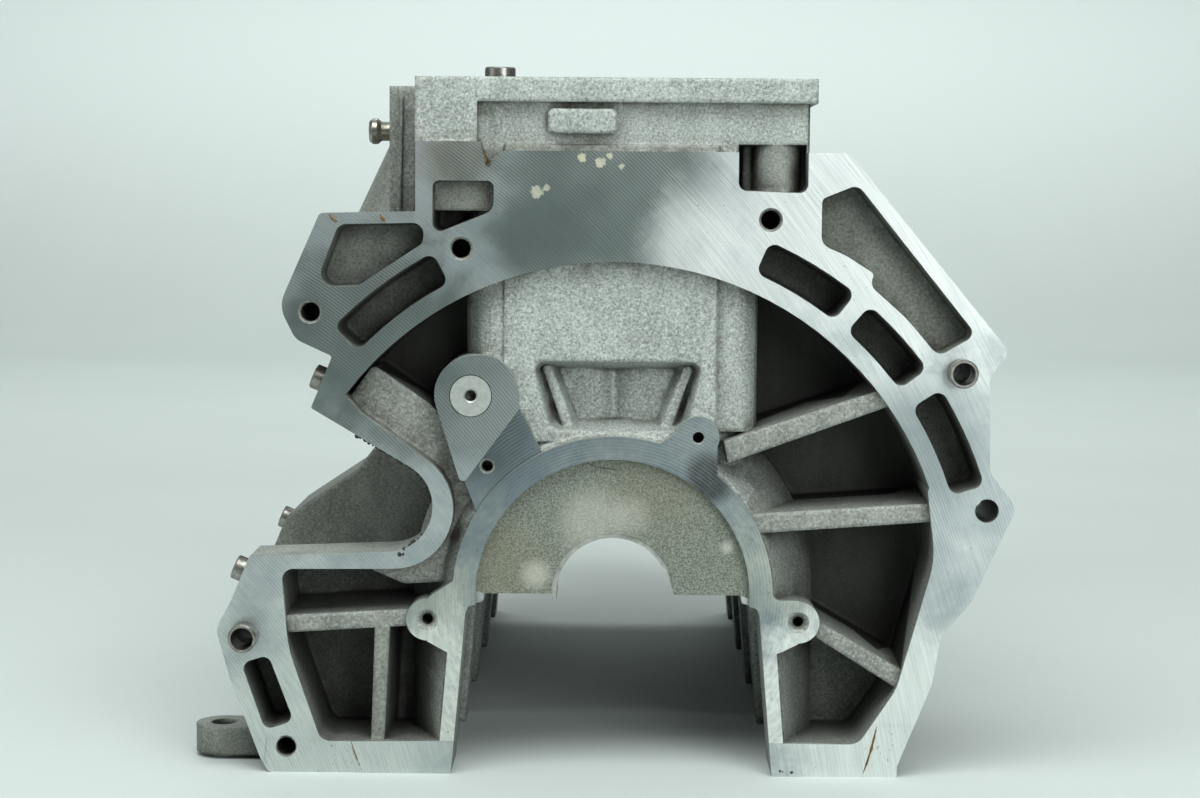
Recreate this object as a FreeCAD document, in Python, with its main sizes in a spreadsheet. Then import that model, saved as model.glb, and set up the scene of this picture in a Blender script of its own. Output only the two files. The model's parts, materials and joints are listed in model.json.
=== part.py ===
"""Inline-four engine block, bare, with its cast-in liners, bearing shells, sleeves and plugs.

Frame: the origin is where the crankshaft axis meets the transmission face.  +X goes to the
right seen from the transmission end, +Y along the crankshaft towards the timing end, +Z up to
the deck.  The pan rail lies crank_height below the origin.  Millimetres.
"""
import FreeCAD, Part
import Sketcher
import math
import os
from FreeCAD import Placement, Rotation, Vector

SIZES = (
    ("crank_height", 83.0, "pan rail to crankshaft axis"),
    ("deck_height", 234.5, "crankshaft axis to deck"),
    ("bore_pitch", 96.0, "between cylinder axes"),
    ("rear_main", 20.0, "transmission face to the middle of the rear main bearing"),
    ("front_margin", 24.0, "middle of the front main bearing to the timing face"),
    ("bore", 87.5, "finished cylinder bore"),
    ("liner_wall", 2.6, "iron liner"),
    ("liner_length", 136.0, "liner below the deck"),
    ("barrel_wall", 3.4, "aluminium cast round a liner"),
    ("jacket_gap", 6.0, "width of the water jacket"),
    ("jacket_depth", 92.0, "water jacket below the deck"),
    ("main_bore", 56.0, "main bearing housing"),
    ("shell_wall", 2.2, "main bearing shell"),
    ("shell_width", 19.0, "main bearing shell along the crankshaft"),
    ("bulkhead", 22.0, "thickness of a main bearing bulkhead"),
    ("swing_radius", 86.0, "room for the crank throws"),
    ("skirt_wall", 7.5, "crankcase wall"),
    ("left_wall", 68.0, "crankshaft axis to the jacket's outer face, left"),
    ("right_wall", 60.0, "crankshaft axis to the jacket's outer face, right"),
    ("end_set", 10.0, "jacket end wall behind the transmission face"),
    ("deck_width", 181.0, "deck across"),
    ("deck_plate", 11.0, "thickness of the deck's overhang"),
    ("deck_set", 3.0, "deck's rear edge behind the transmission face"),
    ("corner_width", 28.0, "corner block under the deck, across"),
    ("deck_recess", 5.0, "wall below the deck's rear band, set in"),
    ("upper_wall", 24.0, "wall below the deck's rear band, front to back"),
    ("upper_wall_height", 60.0, "that wall, below the deck"),
    ("rim_depth", 32.0, "transmission flange, front to back"),
    ("bell_depth", 56.0, "bell wall, front to back"),
    ("bell_draw", 9.0, "how far the bell wall closes in behind the flange"),
    ("bell_floor", 7.0, "wall at the bottom of the bell's pockets"),
    ("wheel_radius", 152.0, "room for the flywheel"),
    ("slot_inner", 160.3, "inner radius of the ring of cored slots"),
    ("slot_outer", 176.0, "outer radius of the ring of cored slots"),
    ("slot_depth", 28.0, "cored slots in the flange"),
    ("pocket_depth", 17.0, "shallow corner pockets in the flange"),
    ("draft", 2.5, "draft of the cast pockets, degrees"),
    ("seal_set", 0.8, "seal carrier face behind the transmission face"),
    ("seal_outer", 73.0, "outer radius of the seal carrier face"),
    ("seal_inner", 62.5, "inner radius of the seal carrier face"),
    ("lobe_radius", 9.6, "round of a screw lobe beside the seal carrier face"),
    ("panel_set", 6.5, "middle of the jacket's end wall behind the transmission face"),
    ("wall_recess", 16.0, "recess low in the central wall"),
    ("foot_step", 0.6, "outer edges of the feet behind the transmission face"),
    ("saddle_set", 5.0, "cast half disc behind the transmission face"),
    ("rear_shell_width", 27.0, "rear main bearing shell along the crankshaft"),
    ("rib_thickness", 8.0, "rib round the crankcase at a bulkhead"),
    ("column_foot", 45.0, "crankshaft axis to the foot of a bolt column"),
    ("rear_column_foot", 178.0, "crankshaft axis to the foot of a rear bolt column's web"),
    ("rib_set", 4.0, "bell ribs behind the transmission face"),
    ("ledge_set", 12.0, "cast ledges behind the transmission face"),
    ("gallery_bore", 12.0, "main oil gallery"),
    ("gallery_side", 64.9, "crankshaft axis to the gallery, across"),
    ("gallery_rise", 91.0, "crankshaft axis to the gallery, up"),
    ("plug_diameter", 19.4, "gallery plug head"),
    ("plug_seat", 3.0, "depth of the plug's seat"),
    ("deck_bolt", 9.8, "cylinder head bolt hole"),
    ("deck_bolt_side", 53.0, "head bolts each side of the crankshaft axis"),
    ("deck_bolt_depth", 88.0, "head bolt hole"),
    ("column_radius", 12.5, "round column about a rear head bolt"),
    ("bolt_column_foot", 75.0, "crankshaft axis to the foot of that column"),
    ("recess_round", 11.0, "round of the bolt column that stands in the open recess"),
    ("recess_round_side", 73.0, "crankshaft axis to that round, across"),
    ("cap_bolt", 8.6, "main bearing bolt hole"),
    ("cap_bolt_side", 43.0, "main bearing bolts each side of the axis"),
    ("cap_bolt_depth", 62.0, "main bearing bolt hole"),
    ("rail_outer", 101.0, "pan rail, half width"),
    ("rail_inner", 79.0, "pan rail, half width inside"),
    ("rail_height", 12.0, "pan rail flange"),
    ("rail_bolt", 6.8, "pan bolt hole"),
    ("rail_bolt_side", 92.0, "pan bolts each side of the axis"),
    ("flange_bolt", 8.6, "transmission bolt hole"),
    ("flange_bolt_mouth", 10.8, "countersink of a transmission bolt hole"),
    ("sleeve_outer", 13.0, "locating sleeve"),
    ("sleeve_wall", 1.4, "locating sleeve"),
    ("sleeve_length", 16.0, "locating sleeve"),
    ("sleeve_stand", 8.5, "how far a locating sleeve stands out of its seat"),
    ("side_sleeve_outer", 11.4, "slit sleeve in the bracket face"),
    ("side_sleeve_stand", 5.6, "how far a slit sleeve stands out"),
    ("side_sleeve_length", 12.0, "slit sleeve"),
    ("side_sleeve_inset", 14.0, "transmission face to the slit sleeves in its flange"),
    ("deck_sleeve_outer", 14.0, "cylinder head locating sleeve"),
    ("deck_sleeve_wall", 1.6, "cylinder head locating sleeve"),
    ("deck_sleeve_length", 14.0, "cylinder head locating sleeve"),
    ("deck_sleeve_stand", 5.0, "how far it stands above the deck"),
    ("chain_room", 12.0, "depth of the chain's room inside the timing flange"),
    ("front_half", 106.0, "timing cover flange, half width"),
    ("front_band", 20.0, "width of the timing cover flange"),
    ("front_grip", 22.0, "how far the timing flange reaches back along the sides"),
    ("front_bolt", 6.8, "timing cover bolt hole"),
    ("front_bolt_pitch", 44.0, "between timing cover bolts"),
    ("tower_side", 108.0, "crankshaft axis to the side housing's outer face"),
    ("tower_start", 66.0, "transmission face to the side housing"),
    ("tower_length", 90.0, "side housing along the block"),
    ("tower_height", 120.0, "side housing, up"),
    ("tower_drop", 1.5, "deck to the top of the side housing"),
    ("dome_foot", 58.0, "radius of the side dome's foot"),
    ("dome_top", 24.0, "radius of the side dome's top"),
    ("dome_height", 73.0, "side dome above its waist, and below it"),
    ("dome_drop", 92.0, "deck to the side dome's waist"),
    ("dome_side", 88.0, "crankshaft axis to the side dome's middle"),
    ("dome_inset", 150.0, "transmission face to the side dome's middle"),
    ("bracket_start", 110.0, "transmission face to the engine bracket's pad"),
    ("bracket_length", 80.0, "engine bracket's pad along the block"),
    ("stub_outer", 9.4, "hose stub"),
    ("stub_wall", 1.3, "hose stub"),
    ("stub_bead", 12.6, "bead at the stub's mouth"),
    ("stub_reach", 13.0, "how far the stub stands out"),
    ("stub_grip", 8.0, "how deep the stub is pressed in"),
    ("stub_inset", 100.0, "transmission face to the hose stub"),
    ("stub_drop", 22.0, "deck to the hose stub"),
    ("ear_thickness", 13.0, "ear low on the left side"),
    ("ear_eye", 13.0, "radius round the ear's hole"),
    ("ear_hole", 11.8, "ear's bolt hole"),
    ("ear_side", 183.5, "crankshaft axis to the ear's hole"),
    ("ear_root", 151.5, "crankshaft axis to the root of the ear's web, inside the flange"),
    ("ear_inset", 36.0, "transmission face to the ear's hole"),
    ("ear_lift", 2.0, "ear above the pan rail"),
    ("clearance", 0.03, "round a pressed or seated piece"),
)

doc = FreeCAD.newDocument("EngineBlock")
sheet = doc.addObject("Spreadsheet::Sheet", "Sizes")
for row, (alias, value, note) in enumerate(SIZES, 1):
    sheet.set("A%d" % row, note)
    sheet.set("B%d" % row, str(value))
    sheet.setAlias("B%d" % row, alias)
doc.recompute()


def size(alias):
    """Value of one cell of the sheet."""
    return float(getattr(sheet, alias))


# Cylinders and main bearings along Y.
CYLINDERS = 4
MAINS = CYLINDERS + 1
BLOCK_LENGTH = "(Sizes.rear_main + %d * Sizes.bore_pitch + Sizes.front_margin)" % CYLINDERS
WALL_LENGTH = "(%s - Sizes.chain_room)" % BLOCK_LENGTH
DECK = "Sizes.deck_height"
RAIL = "-Sizes.crank_height"
GALLERY_HEIGHT = "Sizes.gallery_rise"


def main_y(index):
    return "(Sizes.rear_main + %d * Sizes.bore_pitch)" % index


def cylinder_y(index):
    return "(Sizes.rear_main + %.1f * Sizes.bore_pitch)" % (index + 0.5)


# ---------------------------------------------------------------- drawing and building helpers

ALONG = Rotation(Vector(1, 0, 0), -90)    # turns +Z to +Y
UPRIGHT = Rotation(Vector(1, 0, 0), 90)   # stands a flat outline up in the X-Z plane


def bind(thing, **places):
    """Bind properties to expressions; x, y and z name the Placement's base."""
    for key, rule in places.items():
        name = "Placement.Base." + key if key in ("x", "y", "z") else key
        thing.setExpression(name, str(rule))
    return thing


def box(name, width, length, height, x, y, z):
    solid = doc.addObject("Part::Box", name)
    return bind(solid, Width=length, Length=width, Height=height, x=x, y=y, z=z)


def rod(name, radius, length, x, y, z, turn=None):
    """Cylinder, upright unless a turn is given."""
    solid = doc.addObject("Part::Cylinder", name)
    if turn is not None:
        solid.Placement = Placement(Vector(0, 0, 0), turn)
    return bind(solid, Radius=radius, Height=length, x=x, y=y, z=z)


def cone(name, base_radius, top_radius, length, x, y, z, turn=None):
    solid = doc.addObject("Part::Cone", name)
    if turn is not None:
        solid.Placement = Placement(Vector(0, 0, 0), turn)
    return bind(solid, Radius1=base_radius, Radius2=top_radius, Height=length, x=x, y=y, z=z)


def rounded(points):
    """Lines and arcs of a closed outline of (across, up, corner radius) points."""
    corners = []
    for i, (across, up, radius) in enumerate(points):
        here = Vector(across, up, 0)
        back = (Vector(points[i - 1][0], points[i - 1][1], 0) - here).normalize()
        following = points[(i + 1) % len(points)]
        ahead = (Vector(following[0], following[1], 0) - here).normalize()
        if not radius:
            corners.append((here, None, here))
            continue
        half = back.getAngle(ahead) / 2
        reach = radius / math.tan(half)
        middle = here + (back + ahead).normalize() * (radius / math.sin(half) - radius)
        corners.append((here + back * reach, middle, here + ahead * reach))
    edges = []
    for i, (start, middle, end) in enumerate(corners):
        if middle is not None:
            edges.append(Part.Arc(start, middle, end))
        following = corners[(i + 1) % len(corners)][0]
        if (following - end).Length > 1e-6:
            edges.append(Part.LineSegment(end, following))
    return edges


def polar(radius, degrees):
    return Vector(radius * math.cos(math.radians(degrees)), radius * math.sin(math.radians(degrees)), 0)


def sector(inner, outer, first, last, corner):
    """Outline of a ring sector between two angles, its four corners rounded."""
    tips = []
    for radius, inward in ((outer, -1), (inner, 1)):
        lean = math.degrees(math.asin(corner / (radius + inward * corner)))
        edge = math.sqrt((radius + inward * corner) ** 2 - corner ** 2)
        for angle, side in ((first, 1), (last, -1)):
            centre = polar(radius + inward * corner, angle + side * lean)
            on_arc = polar(radius, angle + side * lean)
            on_edge = polar(edge, angle)
            knee = ((on_arc - centre) + (on_edge - centre)).normalize() * corner + centre
            tips.append((on_arc, knee, on_edge))
    outer_first, outer_last, inner_first, inner_last = tips
    middle = (first + last) / 2.0
    return [
        Part.Arc(outer_first[0], polar(outer, middle), outer_last[0]),
        Part.Arc(outer_last[0], outer_last[1], outer_last[2]),
        Part.LineSegment(outer_last[2], inner_last[2]),
        Part.Arc(inner_last[2], inner_last[1], inner_last[0]),
        Part.Arc(inner_last[0], polar(inner, middle), inner_first[0]),
        Part.Arc(inner_first[0], inner_first[1], inner_first[2]),
        Part.LineSegment(inner_first[2], outer_first[2]),
        Part.Arc(outer_first[2], outer_first[1], outer_first[0]),
    ]


def outline(name, edges, y):
    """Sketch of edges, stood up across the block and measured from the crankshaft axis."""
    sketch = doc.addObject("Sketcher::SketchObject", name)
    sketch.addGeometry(edges, False)
    sketch.Placement = Placement(Vector(0, 0, 0), UPRIGHT)
    return bind(sketch, y=y)


def prism(name, edges, y, depth, taper=0.0):
    """Outline drawn out towards the timing end, narrowing by the taper where one is given."""
    solid = doc.addObject("Part::Extrusion", name)
    solid.Base = outline(name + "_outline", edges, y)
    solid.DirMode = "Custom"
    solid.Dir = Vector(0, 1, 0)
    solid.Solid = True
    solid.TaperAngle = -taper
    return bind(solid, LengthFwd=depth)


def pillar(name, edges, z, height):
    """Plan outline drawn straight up."""
    solid = doc.addObject("Part::Extrusion", name)
    plan = doc.addObject("Sketcher::SketchObject", name + "_plan")
    plan.addGeometry(edges, False)
    solid.Base = bind(plan, z=z)
    solid.DirMode = "Custom"
    solid.Dir = Vector(0, 0, 1)
    solid.Solid = True
    return bind(solid, LengthFwd=height)


def fuse(name, solids):
    joined = doc.addObject("Part::MultiFuse", name)
    joined.Shapes = solids
    return joined


def cut(name, base, tools):
    """Base with one tool, or a list of tools joined first, taken away."""
    result = doc.addObject("Part::Cut", name)
    result.Base = base
    result.Tool = fuse(name + "_tools", tools) if len(tools) > 1 else tools[0]
    return result


def common(name, first, second):
    result = doc.addObject("Part::MultiCommon", name)
    result.Shapes = [first, second]
    return result


# ---------------------------------------------------------------- transmission flange and bell
# Outlines are (across, up from the crankshaft axis, corner radius).

FLOOR = -size("crank_height")
BRACKET_TOP = (-127.5, 108.5)              # top of the slanted bracket face
BRACKET_LEAN = math.tan(math.radians(22.5))


def bracket_x(up):
    """Where the slanted bracket face lies at a height above the crankshaft axis."""
    return BRACKET_TOP[0] - (BRACKET_TOP[1] - up) * BRACKET_LEAN


FLANGE_TOP = 201.5                         # top of the machined bridge below the deck
FLANGE_CORNER = 205.5                      # top of the flange's corner at its left end

flange_points = [
    (-90.0, FLANGE_CORNER, 0), (-90.0, 174.0, 0), (-133.0, 173.0, 2.5), (-151.5, 131.0, 13),
    (-144.0, 116.0, 9), (BRACKET_TOP[0], BRACKET_TOP[1], 1.5), (bracket_x(85.0), 85.0, 1),
    (-30.8, 22.3, 21), (bracket_x(17.0), 17.0, 1), (bracket_x(-4.0), -4.0, 2),
    (-181.0, -16.5, 9), (-174.5, -40.0, 30), (-161.5, -75.0, 8), (-157.5, FLOOR, 3),
    (131.0, FLOOR, 1), (131.0, -78.0, 4), (146.0, -40.0, 10), (150.0, -17.0, 10),
    (163.0, -2.0, 15), (183.0, 42.0, 7), (170.5, 58.0, 6), (169.5, 101.0, 5),
    (178.0, 113.0, 4.5), (104.5, FLANGE_TOP, 1), (90.5, FLANGE_TOP, 0), (-51.0, FLANGE_TOP, 3),
    (-58.0, 192.5, 1.2), (-61.0, FLANGE_CORNER, 1),
]


def drawn_in(points, inset):
    """The same outline with every side moved in; floor corners stay on the floor."""
    moved = []
    for i, (across, up, radius) in enumerate(points):
        here = Vector(across, up, 0)
        back = (here - Vector(points[i - 1][0], points[i - 1][1], 0)).normalize()
        following = points[(i + 1) % len(points)]
        ahead = (Vector(following[0], following[1], 0) - here).normalize()
        turn = back.cross(ahead).z
        bisector = Vector(-(back.y + ahead.y), back.x + ahead.x, 0).normalize()
        stretch = inset / max(0.5, math.cos(back.getAngle(ahead) / 2))
        spot = here + bisector * stretch
        lift = max(spot.y, FLOOR)
        curve = max(0.5, radius - inset) if turn > 0 else radius + inset
        moved.append((spot.x, lift if up > FLOOR else FLOOR, curve if radius else 0))
    return moved


def loft(name, near, near_y, far, far_y):
    """Solid between two outlines of the same make."""
    solid = doc.addObject("Part::Loft", name)
    solid.Sections = [outline(name + "_near", near, near_y), outline(name + "_far", far, far_y)]
    solid.Solid = True
    solid.Ruled = True
    return solid


rim = prism("flange_rim", rounded(flange_points), "0", "Sizes.rim_depth")
bell_back = loft(
    "bell_back", rounded(flange_points), "Sizes.rim_depth",
    rounded(drawn_in(flange_points, size("bell_draw"))), "Sizes.bell_depth",
)

# The bell's cavity: the flywheel's circle above, the flange's inner edge beside the legs and
# round the starter's recess below.
bell_mouth = [
    (-128.0, 99.0, 0), (-60.0, 200.0, 0), (60.0, 200.0, 0), (170.0, 80.0, 0), (142.5, 50.0, 3),
    (146.5, 18.0, 45), (130.0, -42.0, 25), (113.0, -67.7, 8), (60.0, -67.7, 0), (60.0, 20.0, 0),
    (-30.0, 20.0, 0), (-30.0, -67.5, 0), (-133.0, -68.5, 6), (-148.0, -25.0, 60),
    (-151.0, 11.3, 5), (-14.3, 12.5, 27.4), (-115.0, 83.0, 5),
]
CAVITY = "(Sizes.bell_depth - Sizes.bell_floor)"
wheel_room = rod("wheel_room", "Sizes.wheel_radius", CAVITY, "0", "0", "0", ALONG)
bell_region = prism("bell_region", rounded(bell_mouth), "0", CAVITY)
bell_cavity = common("bell_cavity", wheel_room, bell_region)

# Ring of cored slots round the flywheel's circle, and the corner pockets outside it.
SLOT_CORNER = 4.5
slots = []
for name, first, last in (
    ("slot_left", 117.8, 136.3), ("slot_top", 52.0, 66.8), ("slot_right", 36.6, 49.3),
    ("slot_side", 17.2, 33.0),
):
    drawn = size("slot_depth") * math.tan(math.radians(size("draft")))
    lean = math.degrees(drawn / (size("slot_inner") + size("slot_outer")) * 2)
    slots.append(loft(
        name,
        sector(size("slot_inner"), size("slot_outer"), first, last, SLOT_CORNER), "0",
        sector(size("slot_inner") + drawn, size("slot_outer") - drawn, first + lean, last - lean,
               SLOT_CORNER - drawn), "Sizes.slot_depth",
    ))

corner_pockets = (
    ("pocket_left", "Sizes.pocket_depth",
     [(-124.5, 168.1, 5), (-85.5, 169.0, 5), (-86.8, 159.6, 3), (-116.0, 140.2, 2),
      (-135.5, 139.6, 6)]),
    ("pocket_right", "Sizes.pocket_depth",
     [(92.5, 160.5, 6), (92.5, 181.0, 3), (108.5, 187.5, 5), (163.0, 120.5, 4), (146.0, 110.5, 5),
      (131.5, 127.5, 60), (114.5, 142.5, 5), (116.5, 147.5, 2), (104.0, 155.5, 30)]),
    ("pocket_foot", "Sizes.slot_depth",
     [(-169.5, -32.5, 4), (-157.0, -28.5, 4), (-145.5, -59.0, 4), (-158.7, -63.5, 4)]),
    ("window", "Sizes.slot_depth",
     [(-82.3, 188.0, 3), (-82.3, 163.5, 3.5), (-54.8, 174.5, 6), (-54.8, 188.0, 3)]),
)
pockets = [prism(name, rounded(points), "0", depth, size("draft"))
           for name, depth, points in corner_pockets]
bell = cut("bell", fuse("bell_whole", [rim, bell_back]), [bell_cavity] + slots + pockets)

# Ribs across the bell's cavity on the right, and the foot's two ribs on the left.
RIB_LENGTH = "Sizes.bell_depth - Sizes.rib_set - 2"
ribs = [
    prism(name, rounded(points), "Sizes.rib_set", RIB_LENGTH, -size("draft"))
    for name, points in (
        ("rib_high", [(50.0, 71.0, 0), (124.0, 96.0, 0), (126.0, 88.0, 0), (52.0, 61.0, 0)]),
        ("rib_middle", [(60.0, 37.5, 0), (150.0, 43.6, 0), (150.0, 35.2, 0), (60.0, 28.5, 0)]),
        ("rib_low", [(90.0, -9.0, 0), (136.0, -35.7, 0), (131.0, -42.5, 0), (88.0, -15.5, 0)]),
        ("rib_foot", [(-153.0, -11.0, 0), (-84.0, -7.0, 0), (-84.0, -14.5, 0), (-153.0, -19.0, 0)]),
        ("rib_foot_upright",
         [(-108.5, -10.0, 0), (-101.5, -10.0, 0), (-104.5, -70.0, 0), (-110.5, -70.0, 0)]),
    )
]

# Cast ledge inside the wall of the starter's recess.
ledge = prism("starter_ledge", rounded([
    (-122.0, 87.5, 0), (-110.0, 104.0, 3), (-84.0, 86.0, 5), (-60.0, 60.0, 0), (-60.0, 5.0, 0),
    (-96.0, 3.0, 8), (-118.0, 12.5, 0), (-14.3, 12.5, 27.4),
]), "Sizes.ledge_set", "Sizes.bell_depth - Sizes.ledge_set - 2")

# ---------------------------------------------------------------- crankcase


def arch(radius, foot, floor=FLOOR):
    """Crankcase section: a half circle on the crankshaft axis over straight sides."""
    return [
        Part.LineSegment(Vector(-foot, floor, 0), Vector(foot, floor, 0)),
        Part.LineSegment(Vector(foot, floor, 0), Vector(radius, 0, 0)),
        Part.Arc(Vector(radius, 0, 0), Vector(0, radius, 0), Vector(-radius, 0, 0)),
        Part.LineSegment(Vector(-radius, 0, 0), Vector(-foot, floor, 0)),
    ]


outer_radius = size("swing_radius") + size("skirt_wall")
REAR_BULKHEAD_END = "(2 * Sizes.rear_main - Sizes.saddle_set)"
case_end = loft(
    "case_end", arch(size("seal_outer") + 1, size("seal_outer") + 8), "Sizes.saddle_set",
    arch(outer_radius, outer_radius), REAR_BULKHEAD_END,
)
case = prism("case", arch(outer_radius, outer_radius), REAR_BULKHEAD_END,
             WALL_LENGTH + " - " + REAR_BULKHEAD_END)

# Seal carrier face: a half ring with four screw lobes and two legs down to the pan rail.
seal_ring = prism("seal_ring", arch(size("seal_outer"), size("seal_outer") + 7.0),
                  "Sizes.seal_set", "Sizes.rear_main")
lobes = []
for name, across, up, points in (
    ("lobe_left", -84.5, -11.7, [(-70, 8, 0), (-84.5, -1.7, 4), (-84.5, -21.7, 0), (-74, -27.5, 3),
                                 (-60, -27.5, 0)]),
    ("lobe_right", 84.9, -11.6, [(70, 5, 0), (75, -1.6, 3), (84.9, -1.6, 0), (84.9, -21.6, 0),
                                 (76, -26, 3), (60, -26, 0)]),
    ("lobe_high_right", 38.3, 72.8, [(18, 68, 0), (30, 76, 0), (47, 70, 0), (47, 50, 0), (20, 50, 0)]),
):
    lobes.append(rod(name, "Sizes.lobe_radius", "Sizes.rear_main", str(across), "Sizes.seal_set",
                     str(up), ALONG))
    lobes.append(prism(name + "_web", rounded(points), "Sizes.seal_set", "Sizes.rear_main"))
arc_lobe = [
    Part.Arc(Vector(-69.6, 56.4, 0), Vector(-60.1, 73.1, 0), Vector(-43.0, 85.5, 0)),
    Part.LineSegment(Vector(-43.0, 85.5, 0), Vector(-30.0, 60.0, 0)),
    Part.LineSegment(Vector(-30.0, 60.0, 0), Vector(-62.3, 38.0, 0)),
    Part.LineSegment(Vector(-62.3, 38.0, 0), Vector(-69.6, 56.4, 0)),
]
lobes.append(prism("lobe_high_left", arc_lobe, "Sizes.seal_set + 2.5", "Sizes.rear_main"))

# Teardrop boss over the end of the main oil gallery.
boss = prism("gallery_boss", rounded([
    (-88.0, 109.5, 18), (-46.0, 109.5, 16), (-43.0, 85.0, 0), (-69.0, 50.0, 2),
]), "0", "Sizes.bell_depth")
gallery_tube = rod("gallery_tube", "Sizes.gallery_bore", WALL_LENGTH, "-Sizes.gallery_side", "0",
                   GALLERY_HEIGHT, ALONG)

# ---------------------------------------------------------------- cylinder block above it

# The jacket's walls, well rounded at the transmission end, with the two rear bolt columns in them.
wall_end = float(sheet.evalExpression(WALL_LENGTH))
body = pillar("cylinder_body", rounded([
    (-size("left_wall"), wall_end, 0), (-size("left_wall"), size("end_set"), 14),
    (size("right_wall"), size("end_set"), 17), (size("right_wall"), wall_end, 0),
]), "0", "Sizes.deck_height - 1")
panel = prism("wall_panel", rounded([(-50, 70, 0), (-50, 204, 0), (46, 204, 0), (46, 70, 0)]),
              "Sizes.panel_set", "Sizes.end_set", -30)
bolt_columns = [
    rod("bolt_column_" + side, "Sizes.column_radius",
        "Sizes.deck_height - 1 - Sizes.bolt_column_foot", across, main_y(0), "Sizes.bolt_column_foot")
    for side, across in (("left", "-Sizes.deck_bolt_side"), ("right", "Sizes.deck_bolt_side"))
]
upper_wall = box("upper_wall", "Sizes.deck_width - 4", "Sizes.upper_wall", "Sizes.upper_wall_height",
                 "-Sizes.deck_width / 2", "Sizes.deck_set + Sizes.deck_recess",
                 DECK + " - Sizes.upper_wall_height")
deck = box("deck", "Sizes.deck_width", WALL_LENGTH + " - Sizes.deck_set", "Sizes.deck_plate",
           "-Sizes.deck_width / 2", "Sizes.deck_set", DECK + " - Sizes.deck_plate")
corner_left = box("corner_left", "Sizes.corner_width", "Sizes.rim_depth - Sizes.deck_set",
                  DECK + " - %s" % (FLANGE_CORNER - 2), "-Sizes.deck_width / 2", "Sizes.deck_set",
                  FLANGE_CORNER - 2)
pad = prism("rear_pad",
            rounded([(-30.6, 209.5, 2.5), (0.3, 209.5, 2.5), (0.3, 220.5, 2.5), (-30.6, 220.5, 2.5)]),
            "Sizes.deck_set + 1", "Sizes.deck_recess", 12)

# Bolt columns under the deck's overhang, one pair at each main bearing.
columns = []
for i in range(MAINS):
    foot = "Sizes.column_foot" if i else "Sizes.rear_column_foot"
    for side, left in (("left", "-Sizes.deck_width / 2 + 3"), ("right", "Sizes.right_wall - 4")):
        columns.append(box(
            "column_%s_%d" % (side, i + 1), "Sizes.deck_width / 2 - Sizes.right_wall + 1",
            "Sizes.bulkhead - 2", DECK + " - 5 - " + foot, left,
            main_y(i) + " - Sizes.bulkhead / 2 + 2", foot))

# Rib round the crankcase at each bulkhead, from the pan rail to the foot of the bolt columns.
case_ribs = []
half_rib = [(size("rail_outer") - 3, FLOOR + 8, 0), (outer_radius + 7, 4, 30),
            (size("deck_width") / 2 - 4, size("column_foot") + 12, 0)]
for i in range(1, MAINS):
    case_ribs.append(prism(
        "case_rib_%d" % (i + 1),
        rounded(half_rib + [(-across, up, curve) for across, up, curve in reversed(half_rib)]),
        main_y(i) + " - Sizes.rib_thickness / 2", "Sizes.rib_thickness"))

# Left side: the tall housing with the hose stub, the dome behind it and the bracket pad below.
tower = box("side_tower", "Sizes.tower_side - Sizes.left_wall + 8", "Sizes.tower_length",
            "Sizes.tower_height", "-Sizes.tower_side", "Sizes.tower_start",
            DECK + " - Sizes.tower_drop - Sizes.tower_height")
tower_seam = prism("tower_seam", rounded([
    (-105.5, 120.0, 0), (-103.5, 120.0, 0), (-101.5, 228.0, 0), (-103.0, 228.0, 0),
]), "Sizes.tower_start - 1", "3")
DOME_WAIST = "(Sizes.deck_height - Sizes.dome_drop)"
dome = cone("side_dome", "Sizes.dome_foot", "Sizes.dome_top", "Sizes.dome_height", "-Sizes.dome_side",
            "Sizes.dome_inset", DOME_WAIST)
dome_keel = cone("side_dome_keel", "Sizes.dome_top + 4", "Sizes.dome_foot", "Sizes.dome_height",
                 "-Sizes.dome_side", "Sizes.dome_inset", DOME_WAIST + " - Sizes.dome_height")
bracket = prism("side_bracket", rounded([
    (-80.0, 66.0, 0), (-112.0, 66.0, 12), (bracket_x(44.0) + 26.0, 44.0, 10),
    (bracket_x(20.0), 20.0, 4), (bracket_x(4.0), 4.0, 2), (-138.0, -10.0, 3),
    (-118.0, -70.0, 6), (-85.0, -70.0, 0),
]), "Sizes.bracket_start", "Sizes.bracket_length")

# Pan rail with its bolt bosses, and the timing cover's two flange bands.
RAIL_START = "Sizes.bell_depth - 30"
rails = []
for side, left in (("left", "-Sizes.rail_outer"), ("right", "Sizes.rail_inner + 1")):
    rails.append(box("rail_" + side, "Sizes.rail_outer - Sizes.rail_inner - 1",
                     WALL_LENGTH + " - (" + RAIL_START + ")", "Sizes.rail_height", left, RAIL_START, RAIL))
bands = []
for side, left in (("left", "-Sizes.front_half"), ("right", "Sizes.front_half - Sizes.front_band")):
    bands.append(box("band_" + side, "Sizes.front_band", "Sizes.chain_room + Sizes.front_grip",
                     "Sizes.crank_height + Sizes.deck_height", left,
                     WALL_LENGTH + " - Sizes.front_grip", RAIL))

ear = [
    rod("ear_round", "Sizes.ear_eye", "Sizes.ear_thickness", "-Sizes.ear_side", "Sizes.ear_inset",
        RAIL + " + Sizes.ear_lift"),
    box("ear_web", "Sizes.ear_side - Sizes.ear_root", "2 * Sizes.ear_eye", "Sizes.ear_thickness",
        "-Sizes.ear_side", "Sizes.ear_inset - Sizes.ear_eye", RAIL + " + Sizes.ear_lift"),
]

RAIL_BOLTS = [cylinder_y(i) for i in range(CYLINDERS)] + [main_y(i) for i in range(1, MAINS)]
bosses = []
for i, place in enumerate(RAIL_BOLTS):
    for side in (-1, 1):
        tag = "%s_%d" % ("left" if side < 0 else "right", i + 1)
        bosses.append(rod("rail_boss_" + tag, "Sizes.rail_bolt + 2", "2.2 * Sizes.rail_height",
                          "%d * Sizes.rail_bolt_side" % side, place, RAIL))

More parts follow.
